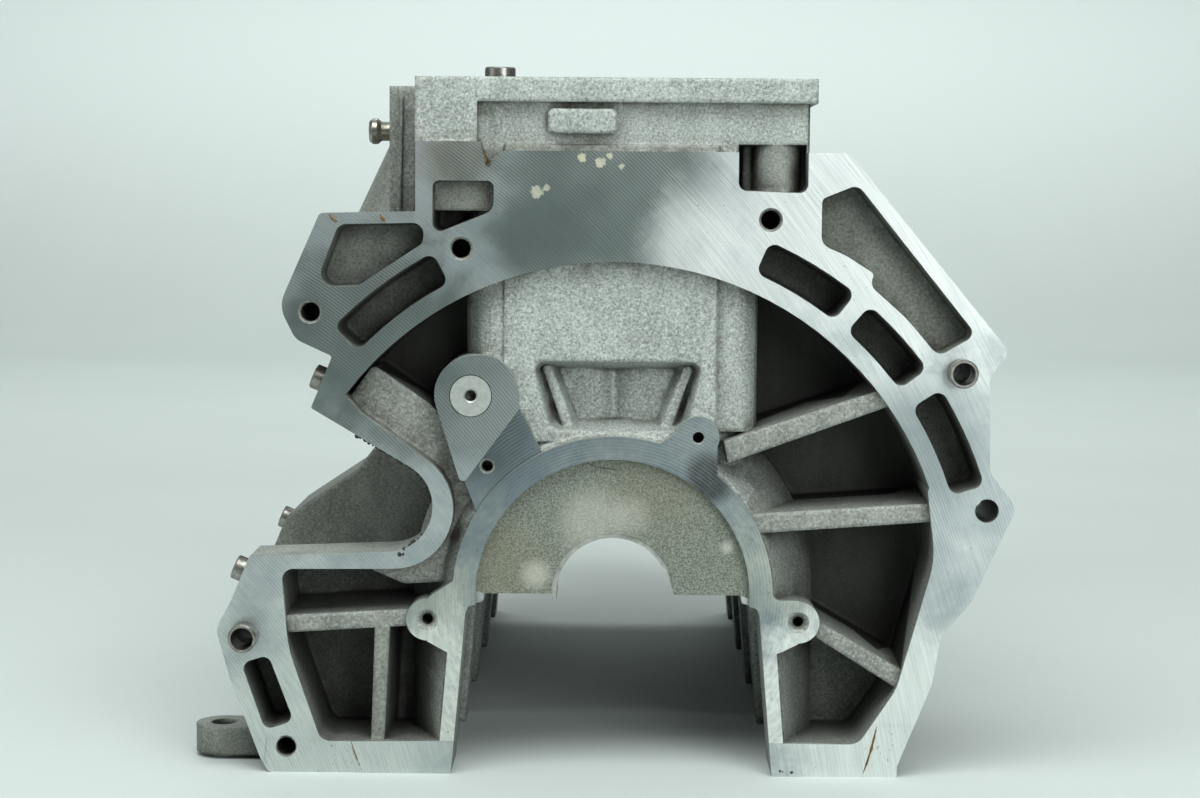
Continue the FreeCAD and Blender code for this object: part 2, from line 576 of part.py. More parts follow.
casting_whole = fuse("casting_whole", [
    bell, ledge, case_end, case, seal_ring, boss, gallery_tube, body, panel, upper_wall, deck,
    corner_left, pad, tower, tower_seam, dome, dome_keel, bracket,
] + ribs + lobes + bolt_columns + columns + case_ribs + rails + bands + ear + bosses)

# ---------------------------------------------------------------- what is cut from the casting

cuts = []
# Crank bays between the bulkheads.
for i in range(CYLINDERS):
    start = REAR_BULKHEAD_END if i == 0 else "(%s + Sizes.bulkhead / 2)" % main_y(i)
    stop = "(%s - Sizes.bulkhead / 2)" % main_y(i + 1)
    cuts.append(prism("crank_bay_%d" % (i + 1),
                      arch(size("swing_radius"), size("rail_inner"),
                           FLOOR - 1), start, stop + " - " + start))

# Room for the bearing beam below the main bearing parting face, and the bearing line itself.
half_room = [(58.5, 0.0, 0), (59.2, -3.6, 0), (65.8, -5.4, 2), (67.2, -9.0, 0), (73.6, FLOOR, 0),
             (73.6, FLOOR - 1, 0)]
room_points = half_room + [(-across, up, curve) for across, up, curve in reversed(half_room)]
cuts.append(prism("beam_room", rounded(room_points), "-1", BLOCK_LENGTH + " + 2"))
cuts.append(rod("main_line", "Sizes.main_bore / 2", BLOCK_LENGTH + " + 2", "0", "-1", "0", ALONG))
cuts.append(rod("half_disc", "Sizes.seal_inner", "Sizes.saddle_set", "0", "0", "0", ALONG))

# Recess low in the central wall, and the open recess at the upper right of the bridge with the
# round of a bolt column standing in it.
hollow = prism("wall_hollow", rounded([(-38, 107, 5), (41, 107, 5), (33, 74.5, 7), (-29, 74.5, 7)]),
               "Sizes.panel_set - 1", "Sizes.wall_recess", 16)
buttresses = [
    prism("buttress_" + side, rounded(points), "Sizes.end_set + 3", "Sizes.wall_recess", -20)
    for side, points in (
        ("left", [(-33, 104, 1.5), (-29, 104, 1.5), (-16, 70, 0), (-21, 70, 0)]),
        ("right", [(36, 104, 1.5), (32, 104, 1.5), (19, 70, 0), (24, 70, 0)]),
    )
]
cuts.append(cut("wall_recess", hollow, buttresses))
# A second cutter pass leaves the outer edge of each foot a little lower.
for side, points in (
    ("left", [(-119.5, -67.0, 0), (-114.0, FLOOR - 1, 0), (-160.0, FLOOR - 1, 0), (-158.0, -67.0, 0)]),
    ("right", [(121.5, -58.0, 0), (114.6, FLOOR - 1, 0), (160.0, FLOOR - 1, 0), (160.0, -58.0, 0)]),
):
    cuts.append(prism("foot_step_" + side, rounded(points), "-1", "1 + Sizes.foot_step"))
recess = prism("bridge_recess",
               rounded([(55, 205.5, 0), (55, 184.3, 4), (86.3, 183.3, 4), (86.3, 205.5, 0)]),
               "-1", "20", 2)
recess_round = rod("recess_round", "Sizes.recess_round", "Sizes.upper_wall_height + 20",
                   "Sizes.recess_round_side", "Sizes.rear_main - 1",
                   DECK + " - Sizes.upper_wall_height - 17.5")
cuts.append(cut("open_recess", recess, [recess_round]))

# Seats of the liners, the water jacket round the barrels, and the bolt holes.
LINER_RADIUS = "(Sizes.bore / 2 + Sizes.liner_wall)"
BARREL_RADIUS = "(%s + Sizes.barrel_wall)" % LINER_RADIUS
JACKET_RADIUS = "(%s + Sizes.jacket_gap)" % BARREL_RADIUS
JACKET_FLOOR = DECK + " - Sizes.jacket_depth"
jacket_outside, barrels = [], []
for i in range(CYLINDERS):
    cuts.append(rod("liner_seat_%d" % (i + 1), LINER_RADIUS, "Sizes.deck_height - 40", "0",
                    cylinder_y(i), "41"))
    jacket_outside.append(rod("jacket_outside_%d" % (i + 1), JACKET_RADIUS, "Sizes.jacket_depth + 5",
                              "0", cylinder_y(i), JACKET_FLOOR))
    barrels.append(rod("barrel_%d" % (i + 1), BARREL_RADIUS, "Sizes.jacket_depth + 10", "0",
                       cylinder_y(i), JACKET_FLOOR + " - 2"))
cuts.append(cut("water_jacket", fuse("jacket_outsides", jacket_outside), barrels))
SLEEVED = (("left", 0), ("left", MAINS - 1))       # head bolts that carry a locating sleeve
for i in range(MAINS):
    for side in ("left", "right"):
        across = "%s Sizes.%s_side"
        sign = "-" if side == "left" else ""
        tag = "%s_%d" % (side, i + 1)
        cuts.append(rod("head_bolt_" + tag, "Sizes.deck_bolt / 2", "Sizes.deck_bolt_depth + 1",
                        across % (sign, "deck_bolt"), main_y(i), DECK + " - Sizes.deck_bolt_depth"))
        cuts.append(rod("cap_bolt_" + tag, "Sizes.cap_bolt / 2", "Sizes.cap_bolt_depth + 1",
                        across % (sign, "cap_bolt"), main_y(i), "-1"))
        if (side, i) in SLEEVED:
            cuts.append(rod("deck_sleeve_seat_" + tag, "Sizes.deck_sleeve_outer / 2 + Sizes.clearance",
                            "Sizes.deck_sleeve_length", across % (sign, "deck_bolt"), main_y(i),
                            DECK + " - (Sizes.deck_sleeve_length - Sizes.deck_sleeve_stand)"))
for i, place in enumerate(RAIL_BOLTS):
    for side in (-1, 1):
        tag = "%s_%d" % ("left" if side < 0 else "right", i + 1)
        cuts.append(rod("rail_hole_" + tag, "Sizes.rail_bolt / 2", "2 * Sizes.rail_height + 1",
                        "%d * Sizes.rail_bolt_side" % side, place, RAIL + " - 1"))
BAND_BOLTS = 7
for i in range(BAND_BOLTS):
    for side in (-1, 1):
        tag = "%s_%d" % ("left" if side < 0 else "right", i + 1)
        cuts.append(rod("band_hole_" + tag, "Sizes.front_bolt / 2",
                        "Sizes.chain_room + Sizes.front_grip",
                        "%d * (Sizes.front_half - Sizes.front_band / 2 + 2)" % side,
                        BLOCK_LENGTH + " - 24",
                        RAIL + " + Sizes.front_band + %d * Sizes.front_bolt_pitch" % i, ALONG))

# Transmission flange: threaded holes with a countersink, one plain hole, two sleeve seats.
THREADED = (("left", -137.4, 128.4), ("top_left", -69.4, 157.5), ("top_right", 69.7, 171.4),
            ("foot", -149.1, -71.2))
for name, across, up in THREADED:
    height = str(up)
    cuts.append(rod("thread_" + name, "Sizes.flange_bolt / 2", "Sizes.slot_depth", str(across), "-1",
                    height, ALONG))
    cuts.append(cone("mouth_" + name, "Sizes.flange_bolt_mouth / 2 + 1", "Sizes.flange_bolt / 2",
                     "(Sizes.flange_bolt_mouth - Sizes.flange_bolt) / 2 + 1", str(across), "-1",
                     height, ALONG))
cuts.append(rod("plain_hole", "Sizes.flange_bolt_mouth / 2", "Sizes.bell_depth + 2", "169.5", "-1",
                "40.6", ALONG))
SLEEVES = (("sleeve_high", 156.6, 103.3), ("sleeve_low", -167.8, -19.6))
for name, across, up in SLEEVES:
    height = str(up)
    cuts.append(rod(name + "_seat", "Sizes.sleeve_outer / 2 + Sizes.clearance",
                    "Sizes.sleeve_length - Sizes.sleeve_stand + 1", str(across), "-1", height, ALONG))
    cuts.append(rod(name + "_bolt", "Sizes.sleeve_outer / 2 - Sizes.sleeve_wall",
                    "Sizes.bell_depth + 2", str(across), "-1", height, ALONG))
SCREWS = (("left", -84.5, -11.7, 5.0, 9.9), ("right", 84.9, -11.6, 4.8, 9.9),
          ("high_left", -57.5, 58.8, 5.0, 7.0), ("high_right", 38.3, 72.8, 5.2, 5.8))
for name, across, up, drill, mouth in SCREWS:
    height = str(up)
    seat = "Sizes.seal_set - 2" + (" + 2.5" if name == "high_left" else "")
    cuts.append(rod("seal_screw_" + name, str(drill / 2), "16", str(across), "0", height, ALONG))
    cuts.append(cone("seal_mouth_" + name, str(mouth / 2 + 2), str(drill / 2 - 0.1),
                     str((mouth - drill) / 2 + 2.1), str(across), seat, height, ALONG))

# Main oil gallery with a plug's seat at each end.
cuts.append(rod("gallery", "Sizes.gallery_bore / 2", BLOCK_LENGTH + " + 2", "-Sizes.gallery_side", "-1",
                GALLERY_HEIGHT, ALONG))
PLUG_SEAT_RADIUS = "Sizes.plug_diameter / 2 + Sizes.clearance"
cuts.append(rod("plug_seat_rear", PLUG_SEAT_RADIUS, "Sizes.plug_seat + 1", "-Sizes.gallery_side", "-1",
                GALLERY_HEIGHT, ALONG))
cuts.append(rod("plug_seat_front", PLUG_SEAT_RADIUS, "Sizes.plug_seat + 1", "-Sizes.gallery_side",
                WALL_LENGTH + " - Sizes.plug_seat", GALLERY_HEIGHT, ALONG))

# Hose stub's hole, ear's hole, slit sleeves' holes.
INWARD = Rotation(Vector(0, 1, 0), 90)             # turns +Z to +X
cuts.append(rod("stub_hole", "Sizes.stub_outer / 2 + Sizes.clearance", "Sizes.stub_grip + 10",
                "-Sizes.tower_side - 10", "Sizes.stub_inset", DECK + " - Sizes.stub_drop", INWARD))
cuts.append(rod("ear_hole", "Sizes.ear_hole / 2", "Sizes.ear_thickness + 2", "-Sizes.ear_side",
                "Sizes.ear_inset", RAIL + " + Sizes.ear_lift - 1"))
LEAN_ANGLE = math.degrees(math.atan(BRACKET_LEAN))
OUTWARD = Rotation(Vector(0, 1, 0), -(90 - LEAN_ANGLE))   # turns +Z out of the slanted face
SIDE_SLEEVES = (("side_sleeve_high", 96.5, "Sizes.side_sleeve_inset"),
                ("side_sleeve_low", 8.0, "Sizes.side_sleeve_inset"),
                ("side_sleeve_front", 12.5, "150"))
outward = OUTWARD.multVec(Vector(0, 0, 1))
for name, up, along in SIDE_SLEEVES:
    sunk = size("side_sleeve_length") - size("side_sleeve_stand")
    start = Vector(bracket_x(up), 0, up) - outward * sunk
    cuts.append(rod(name + "_seat", "Sizes.side_sleeve_outer / 2 + Sizes.clearance",
                    "Sizes.side_sleeve_length + 8", str(start.x), along, str(start.z), OUTWARD))

casting = cut("block_casting", casting_whole, cuts)

# ---------------------------------------------------------------- separate pieces


def turned(name, profile, angle=360.0):
    """Body turned about its own +Z from (radius, height) points given as expressions."""
    body_piece = doc.addObject("PartDesign::Body", name)
    sketch = body_piece.newObject("Sketcher::SketchObject", name + "_profile")
    plane = [feature for feature in body_piece.Origin.OriginFeatures if feature.Role == "XZ_Plane"][0]
    sketch.AttachmentSupport = (plane, [""])
    sketch.MapMode = "FlatFace"
    spots = [Vector(float(sheet.evalExpression(radius)), float(sheet.evalExpression(height)), 0)
             for radius, height in profile]
    count = len(spots)
    for i in range(count):
        sketch.addGeometry(Part.LineSegment(spots[i], spots[(i + 1) % count]), False)
    for i in range(count):
        sketch.addConstraint(Sketcher.Constraint("Coincident", i, 2, (i + 1) % count, 1))
    for i, (radius, height) in enumerate(profile):
        across = sketch.addConstraint(Sketcher.Constraint("DistanceX", -1, 1, i, 1, spots[i].x))
        sketch.setExpression("Constraints[%d]" % across, radius)
        if abs(spots[i].y) > 1e-9:
            up = sketch.addConstraint(Sketcher.Constraint("DistanceY", -1, 1, i, 1, spots[i].y))
            sketch.setExpression("Constraints[%d]" % up, height)
        else:
            sketch.addConstraint(Sketcher.Constraint("PointOnObject", i, 1, -1))
    spin = body_piece.newObject("PartDesign::Revolution", name + "_turning")
    spin.Profile = sketch
    spin.ReferenceAxis = (sketch, ["V_Axis"])
    spin.Angle = angle
    return body_piece


def place(piece, turn, x, y, z):
    piece.Placement = Placement(Vector(0, 0, 0), turn)
    bind(piece, x=x, y=y, z=z)
    return piece


pieces = [casting]
STILL = Rotation()

# Cylinder liners, chamfered at both ends of the bore.
for i in range(CYLINDERS):
    liner = turned("cylinder_liner_%d" % (i + 1), [
        (LINER_RADIUS, "0"), (LINER_RADIUS, "Sizes.liner_length"),
        ("Sizes.bore / 2 + 0.5", "Sizes.liner_length"), ("Sizes.bore / 2", "Sizes.liner_length - 0.5"),
        ("Sizes.bore / 2", "2"), ("Sizes.bore / 2 + 1.2", "0"),
    ])
    pieces.append(place(liner, STILL, "0", cylinder_y(i), DECK + " - Sizes.liner_length"))

# Upper main bearing shells, grooved; the rear one is wider and has crept round a little.
REAR_SHELL_CREEP = 6.0
for i in range(MAINS):
    width = "Sizes.rear_shell_width" if i == 0 else "Sizes.shell_width"
    outer = "Sizes.main_bore / 2 - Sizes.clearance"
    inner = "Sizes.main_bore / 2 - Sizes.shell_wall"
    groove = "Sizes.main_bore / 2 - Sizes.shell_wall / 2"
    bearing = turned("main_bearing_shell_%d" % (i + 1), [
        (outer, "0"), (outer, width), (inner, width), (inner, width + " / 2 + 2"),
        (groove, width + " / 2 + 1.5"), (groove, width + " / 2 - 1.5"),
        (inner, width + " / 2 - 2"), (inner, "0"),
    ], 180.0)
    creep = REAR_SHELL_CREEP if i == 0 else 0.0
    crept = Rotation(Vector(0, 1, 0), -creep)
    laid = Rotation(Vector(1, 0, 0), -90).multiply(Rotation(Vector(0, 0, 1), 180))
    turn = crept.multiply(laid)
    pieces.append(place(bearing, turn, "0", main_y(i) + " - " + width + " / 2", "0"))


def tube(name, outer, wall, length, angle=360.0):
    inner = "(%s / 2 - %s)" % (outer, wall)
    return turned(name, [
        (outer + " / 2 - 0.5", "0"), (outer + " / 2", "0.6"), (outer + " / 2", length + " - 0.6"),
        (outer + " / 2 - 0.5", length), (inner, length), (inner, "0"),
    ], angle)


# Locating sleeves: cylinder head, transmission and the slit ones in the bracket face.
for side, i in SLEEVED:
    sleeve = tube("deck_sleeve_%s" % ("rear" if i == 0 else "front"), "Sizes.deck_sleeve_outer",
                  "Sizes.deck_sleeve_wall", "Sizes.deck_sleeve_length")
    pieces.append(place(sleeve, STILL, "-Sizes.deck_bolt_side", main_y(i),
                        DECK + " - (Sizes.deck_sleeve_length - Sizes.deck_sleeve_stand)"))
for name, across, up in SLEEVES:
    sleeve = tube("transmission_" + name, "Sizes.sleeve_outer", "Sizes.sleeve_wall",
                  "Sizes.sleeve_length")
    pieces.append(place(sleeve, ALONG, str(across), "-Sizes.sleeve_stand", str(up)))
for name, up, along in SIDE_SLEEVES:
    sunk = size("side_sleeve_length") - size("side_sleeve_stand")
    start = Vector(bracket_x(up), 0, up) - outward * sunk
    sleeve = tube(name, "Sizes.side_sleeve_outer", "Sizes.sleeve_wall", "Sizes.side_sleeve_length",
                  348.0)
    pieces.append(place(sleeve, OUTWARD, str(start.x), along, str(start.z)))

# Gallery plugs: a flanged disc on a short stem, with a blind socket.
for name, turn, start in (("rear", Rotation(Vector(1, 0, 0), 90), "Sizes.plug_seat"),
                          ("front", ALONG, WALL_LENGTH + " - Sizes.plug_seat")):
    plug = turned("gallery_plug_" + name, [
        ("0", "-8"), ("Sizes.gallery_bore / 2 - Sizes.clearance", "-8"),
        ("Sizes.gallery_bore / 2 - Sizes.clearance", "0"), ("Sizes.plug_diameter / 2", "0"),
        ("Sizes.plug_diameter / 2", "Sizes.plug_seat - 0.7"),
        ("Sizes.plug_diameter / 2 - 0.4", "Sizes.plug_seat - 0.3"),
        ("3.2", "Sizes.plug_seat - 0.3"), ("2.5", "Sizes.plug_seat - 1"), ("2.5", "-3"), ("0", "-4.2"),
    ])
    pieces.append(place(plug, turn, "-Sizes.gallery_side", start, GALLERY_HEIGHT))

# Hose stub with a bead at its mouth.
stub_length = "(Sizes.stub_grip + Sizes.stub_reach)"
stub = turned("coolant_hose_stub", [
    ("Sizes.stub_outer / 2", "0"), ("Sizes.stub_outer / 2", stub_length + " - 6"),
    ("Sizes.stub_bead / 2", stub_length + " - 4"), ("Sizes.stub_bead / 2", stub_length + " - 1.6"),
    ("Sizes.stub_bead / 2 - 1.2", stub_length),
    ("Sizes.stub_outer / 2 - Sizes.stub_wall + 0.6", stub_length),
    ("Sizes.stub_outer / 2 - Sizes.stub_wall", stub_length + " - 1"),
    ("Sizes.stub_outer / 2 - Sizes.stub_wall", "0"),
])
pieces.append(place(stub, Rotation(Vector(0, 1, 0), -90), "-Sizes.tower_side + Sizes.stub_grip",
                    "Sizes.stub_inset", DECK + " - Sizes.stub_drop"))

# ---------------------------------------------------------------- check and write

doc.recompute()
failed = [thing.Name for thing in doc.Objects if "Invalid" in thing.State or "Error" in thing.State]
if failed:
    raise RuntimeError("failed objects: " + ", ".join(failed))
os.makedirs("parts", exist_ok=True)
for piece in pieces:
    piece.Label = piece.Name
    shape = piece.Shape
    if shape.isNull() or not shape.isValid() or len(shape.Solids) != 1:
        raise RuntimeError("bad solid: " + piece.Label)
    shape.exportStep("parts/%s.step" % piece.Label)
    print("%-26s %10.2f cm3" % (piece.Label, shape.Volume / 1000))
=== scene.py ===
"""Looks of the engine block: cast skin, milled faces, iron, steel, the dirt left on them, and painted
shade, glints and reflections.
"""

import json
import math

import bmesh
import bpy
import numpy as np
from mathutils import Matrix, Vector
from mathutils.bvhtree import BVHTree


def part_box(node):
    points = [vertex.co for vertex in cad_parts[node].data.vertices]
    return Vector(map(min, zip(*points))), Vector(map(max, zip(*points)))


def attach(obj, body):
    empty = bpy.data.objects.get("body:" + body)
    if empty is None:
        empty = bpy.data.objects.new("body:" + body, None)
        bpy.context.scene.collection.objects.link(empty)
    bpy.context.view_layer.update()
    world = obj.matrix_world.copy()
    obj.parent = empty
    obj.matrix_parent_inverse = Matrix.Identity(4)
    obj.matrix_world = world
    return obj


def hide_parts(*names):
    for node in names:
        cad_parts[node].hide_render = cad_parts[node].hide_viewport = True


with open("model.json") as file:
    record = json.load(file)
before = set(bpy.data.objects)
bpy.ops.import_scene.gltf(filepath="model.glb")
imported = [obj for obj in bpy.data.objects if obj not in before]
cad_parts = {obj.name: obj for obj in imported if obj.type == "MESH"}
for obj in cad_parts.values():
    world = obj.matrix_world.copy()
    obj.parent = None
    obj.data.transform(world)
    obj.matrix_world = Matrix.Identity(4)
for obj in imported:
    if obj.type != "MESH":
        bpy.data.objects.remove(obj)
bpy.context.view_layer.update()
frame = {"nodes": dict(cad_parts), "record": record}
NODES = frame["nodes"]
MM = 0.001

CASTING_LOW, CASTING_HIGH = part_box("block_casting")
RAIL, DECK, FRONT = CASTING_LOW.z, CASTING_HIGH.z, CASTING_HIGH.y


# ------------------------------------------------------------------ small tools


def hexed(code):
    """Linear colour of an sRGB hex value."""
    parts = [int(code[i:i + 2], 16) / 255 for i in (1, 3, 5)]
    return [c / 12.92 if c <= 0.04045 else ((c + 0.055) / 1.055) ** 2.4 for c in parts] + [1.0]


def add(tree, kind, inputs=None, out=0, **settings):
    """New node with its settings; an input takes a value or another node's output."""
    node = tree.nodes.new(kind)
    for key, value in settings.items():
        setattr(node, key, value)
    for key, value in (inputs or {}).items():
        if isinstance(value, bpy.types.NodeSocket):
            tree.links.new(value, node.inputs[key])
        else:
            node.inputs[key].default_value = value
    return node.outputs[out] if len(node.outputs) else node


def per_mm(width):
    """Scale at which one lump of a noise is about this many millimetres wide."""
    return 1.0 / (width * MM)


def new_material(name):
    """Material, its tree, its shader and the place on the object."""
    material = bpy.data.materials.new(name)
    material.use_nodes = True
    tree = material.node_tree
    return material, tree, tree.nodes["Principled BSDF"], add(tree, "ShaderNodeTexCoord", out=3)


def tone_patched(tree, colour, place, spot, uneven, wander, outer, inner, share, tone, easing="LINEAR"):
    """Colour with a ragged patch of another tone round a spot, for stains and for painted reflections.
    Noise shifts the edge by up to wander; the patch ends at outer and is full at inner.  Lengths in
    millimetres."""
    apart = add(tree, "ShaderNodeVectorMath", {
        0: place, 1: [c * MM for c in spot]}, 1, operation="DISTANCE")
    ragged = add(tree, "ShaderNodeMath", {0: uneven, 1: wander * MM, 2: apart}, operation="MULTIPLY_ADD")
    inside = add(tree, "ShaderNodeMapRange", {
        "Value": ragged, "From Min": outer * MM, "From Max": inner * MM, "To Max": share},
        interpolation_type=easing)
    return add(tree, "ShaderNodeMix", {0: inside, 6: colour, 7: hexed(tone)}, 2, data_type="RGBA")


# ------------------------------------------------------------------ materials


def shot_blasted_casting(name, pale, dull, painted_glint, oil, oil_share=0.9, shade_and_oil_in_rooms=0.8):
    """Pressure-cast aluminium, shot-blasted: matt pale grey with a grain of about a millimetre, some grains
    lightened as a painted glint, soft clouds from the metal's flow, old oil dried in corners, and painted
    shade, partly oil, in the deep rooms."""
    material, tree, shader, place = new_material(name)
    grain = add(tree, "ShaderNodeTexNoise", {
        "Vector": place, "Scale": per_mm(1.15), "Detail": 3.0, "Roughness": 0.75})
    drawn = add(tree, "ShaderNodeMapping", {"Vector": place, "Scale": (1.0, 1.0, 0.35)})
    clouds = add(tree, "ShaderNodeTexNoise", {
        "Vector": drawn, "Scale": per_mm(16.0), "Detail": 4.0, "Roughness": 0.6})
    cloud = add(tree, "ShaderNodeMapRange", {"Value": clouds, "From Min": 0.36, "From Max": 0.66})
    colour = add(tree, "ShaderNodeMix", {0: cloud, 6: hexed(pale), 7: hexed(dull)}, 2, data_type="RGBA")
    # Painted glint: grains above a level are lightened towards the glint tone, standing in for sparkle.
    painted_glint_share = add(tree, "ShaderNodeMapRange", {
        "Value": grain, "From Min": 0.53, "From Max": 0.66, "To Max": 0.62})
    colour = add(tree, "ShaderNodeMix", {0: painted_glint_share, 6: colour, 7: hexed(painted_glint)}, 2, data_type="RGBA")
    pit = add(tree, "ShaderNodeMapRange", {
        "Value": grain, "From Min": 0.48, "From Max": 0.36, "To Max": 0.62})
    colour = add(tree, "ShaderNodeMix", {0: pit, 6: colour, 7: hexed("#55554F")}, 2, data_type="RGBA")

    corner = add(tree, "ShaderNodeAmbientOcclusion", {"Distance": 9.0 * MM}, 1, samples=5)
    near = add(tree, "ShaderNodeMapRange", {
        "Value": corner, "From Min": 0.92, "From Max": 0.35, "To Max": oil_share})
    runs = add(tree, "ShaderNodeTexNoise", {
        "Vector": place, "Scale": per_mm(11.0), "Detail": 5.0, "Roughness": 0.7})
    patchy = add(tree, "ShaderNodeMapRange", {"Value": runs, "From Min": 0.40, "From Max": 0.60})
    wet = add(tree, "ShaderNodeMath", {0: near, 1: patchy}, operation="MULTIPLY")
    colour = add(tree, "ShaderNodeMix", {0: wet, 6: colour, 7: hexed(oil)}, 2, data_type="RGBA")

    # Painted shade, partly old oil: faces deep in rooms, found by occlusion over 70 mm, go towards
    # near-black.
    room = add(tree, "ShaderNodeAmbientOcclusion", {"Distance": 70.0 * MM}, 1, samples=6)
    room_shade_and_oil = add(tree, "ShaderNodeMapRange", {
        "Value": room, "From Min": 0.50, "From Max": 0.12, "To Max": shade_and_oil_in_rooms})
    colour = add(tree, "ShaderNodeMix", {0: room_shade_and_oil, 6: colour, 7: hexed("#1C1C18")}, 2, data_type="RGBA")
    tree.links.new(colour, shader.inputs["Base Color"])

    shader.inputs["Metallic"].default_value = 0.45
    rough = add(tree, "ShaderNodeMapRange", {
        "Value": wet, "From Max": 1.0, "To Min": 0.60, "To Max": 0.36})
    tree.links.new(rough, shader.inputs["Roughness"])
    eased = add(tree, "ShaderNodeBevel", {"Radius": 3.0 * MM}, samples=6)
    waves = add(tree, "ShaderNodeTexNoise", {"Vector": drawn, "Scale": per_mm(14.0), "Detail": 2.0})
    soft = add(tree, "ShaderNodeBump", {
        "Height": waves, "Distance": 1.4 * MM, "Strength": 0.6, "Normal": eased})
    tree.links.new(add(tree, "ShaderNodeBump", {
        "Height": grain, "Distance": 0.32 * MM, "Strength": 0.8, "Normal": soft}), shader.inputs["Normal"])
    return material


SMALL_SPLASH = 4.0         # reach in millimetres below which the fine noise frays a splash


def milled_aluminium(name, bright, grey, cutter, streak_mm, streaks=0.22, feed_mm=1.3, feed=0.1,
                     roughness=0.33, stains_and_reflections=()):
    """Aluminium cut with a face mill: bright, with the cutter's arcs crossing it in uneven streaks,
    a thin grey-blue film in clouds, fine dark specks, and patches: painted reflections, and splashes of
    what has dried on it.  A patch is its place across and up, its reach and the softness of its edge in
    millimetres, its strength and its tone."""
    material, tree, shader, place = new_material(name)
    centre = add(tree, "ShaderNodeMapping", {
        "Vector": place, "Location": [-c * MM for c in cutter]})
    radius = add(tree, "ShaderNodeVectorMath", {0: centre}, 1, operation="LENGTH")
    across = add(tree, "ShaderNodeSeparateXYZ", {0: centre})
    upward = across.node.outputs[2]
    swing = add(tree, "ShaderNodeMath", {0: across, 1: upward}, operation="ARCTAN2")
    rings = add(tree, "ShaderNodeMath", {0: radius, 1: per_mm(streak_mm)}, operation="MULTIPLY")
    along = add(tree, "ShaderNodeMath", {0: swing, 1: 14.0}, operation="MULTIPLY")
    polar = add(tree, "ShaderNodeCombineXYZ", {0: rings, 1: along})
    brushed = add(tree, "ShaderNodeTexNoise", {
        "Vector": polar, "Scale": 1.0, "Detail": 2.0, "Roughness": 0.6})
    cut = add(tree, "ShaderNodeMapRange", {"Value": brushed, "From Min": 0.36, "From Max": 0.64})
    feed_lines = add(tree, "ShaderNodeTexWave", {
        "Vector": centre, "Scale": math.pi / 10 * per_mm(feed_mm), "Distortion": 1.2, "Detail": 1.0,
        "Detail Scale": 0.6}, 1, wave_type="RINGS", rings_direction="SPHERICAL")

    clouds = add(tree, "ShaderNodeTexNoise", {
        "Vector": place, "Scale": per_mm(42.0), "Detail": 5.0, "Roughness": 0.62, "Distortion": 0.3})
    film = add(tree, "ShaderNodeMapRange", {"Value": clouds, "From Min": 0.36, "From Max": 0.62})
    colour = add(tree, "ShaderNodeMix", {0: film, 6: hexed(bright), 7: hexed(grey)}, 2, data_type="RGBA")
    dots = add(tree, "ShaderNodeTexNoise", {"Vector": place, "Scale": per_mm(1.5), "Detail": 3.0})
    # Large patches are painted reflections; small ones are what has dried on the face.
    for x, z, reach, soft, share, tone in stains_and_reflections:
        colour = tone_patched(tree, colour, place, (x, 0.0, z), dots if reach < SMALL_SPLASH else clouds,
                          2 * reach, 2 * reach + soft, 2 * reach - soft, share, tone, "SMOOTHSTEP")
    grooves = add(tree, "ShaderNodeMath", {0: cut, 1: streaks}, operation="MULTIPLY")
    colour = add(tree, "ShaderNodeMix", {
        0: grooves, 6: colour, 7: hexed("#6F777A")}, 2, data_type="RGBA")
    kept = add(tree, "ShaderNodeMapRange", {
        "Value": add(tree, "ShaderNodeTexNoise", {"Vector": place, "Scale": per_mm(60.0), "Detail": 2.0}),
        "From Min": 0.42, "From Max": 0.6, "To Min": feed * 0.3, "To Max": feed * 2.4})
    lines = add(tree, "ShaderNodeMath", {0: feed_lines, 1: kept}, operation="MULTIPLY")
    colour = add(tree, "ShaderNodeMix", {0: lines, 6: colour, 7: hexed("#F2F4F3")}, 2, data_type="RGBA")
    speck = add(tree, "ShaderNodeMapRange", {
        "Value": dots, "From Min": 0.66, "From Max": 0.74, "To Max": 0.5})
    colour = add(tree, "ShaderNodeMix", {0: speck, 6: colour, 7: hexed("#4C4B46")}, 2, data_type="RGBA")
    tree.links.new(colour, shader.inputs["Base Color"])

    shader.inputs["Metallic"].default_value = 0.88
    rough = add(tree, "ShaderNodeMapRange", {
        "Value": clouds, "From Min": 0.3, "From Max": 0.7, "To Min": roughness, "To Max": roughness + 0.12})
    tree.links.new(rough, shader.inputs["Roughness"])
    tree.links.new(add(tree, "ShaderNodeBump", {
        "Height": cut, "Distance": 0.03 * MM, "Strength": 0.6}), shader.inputs["Normal"])
    return material


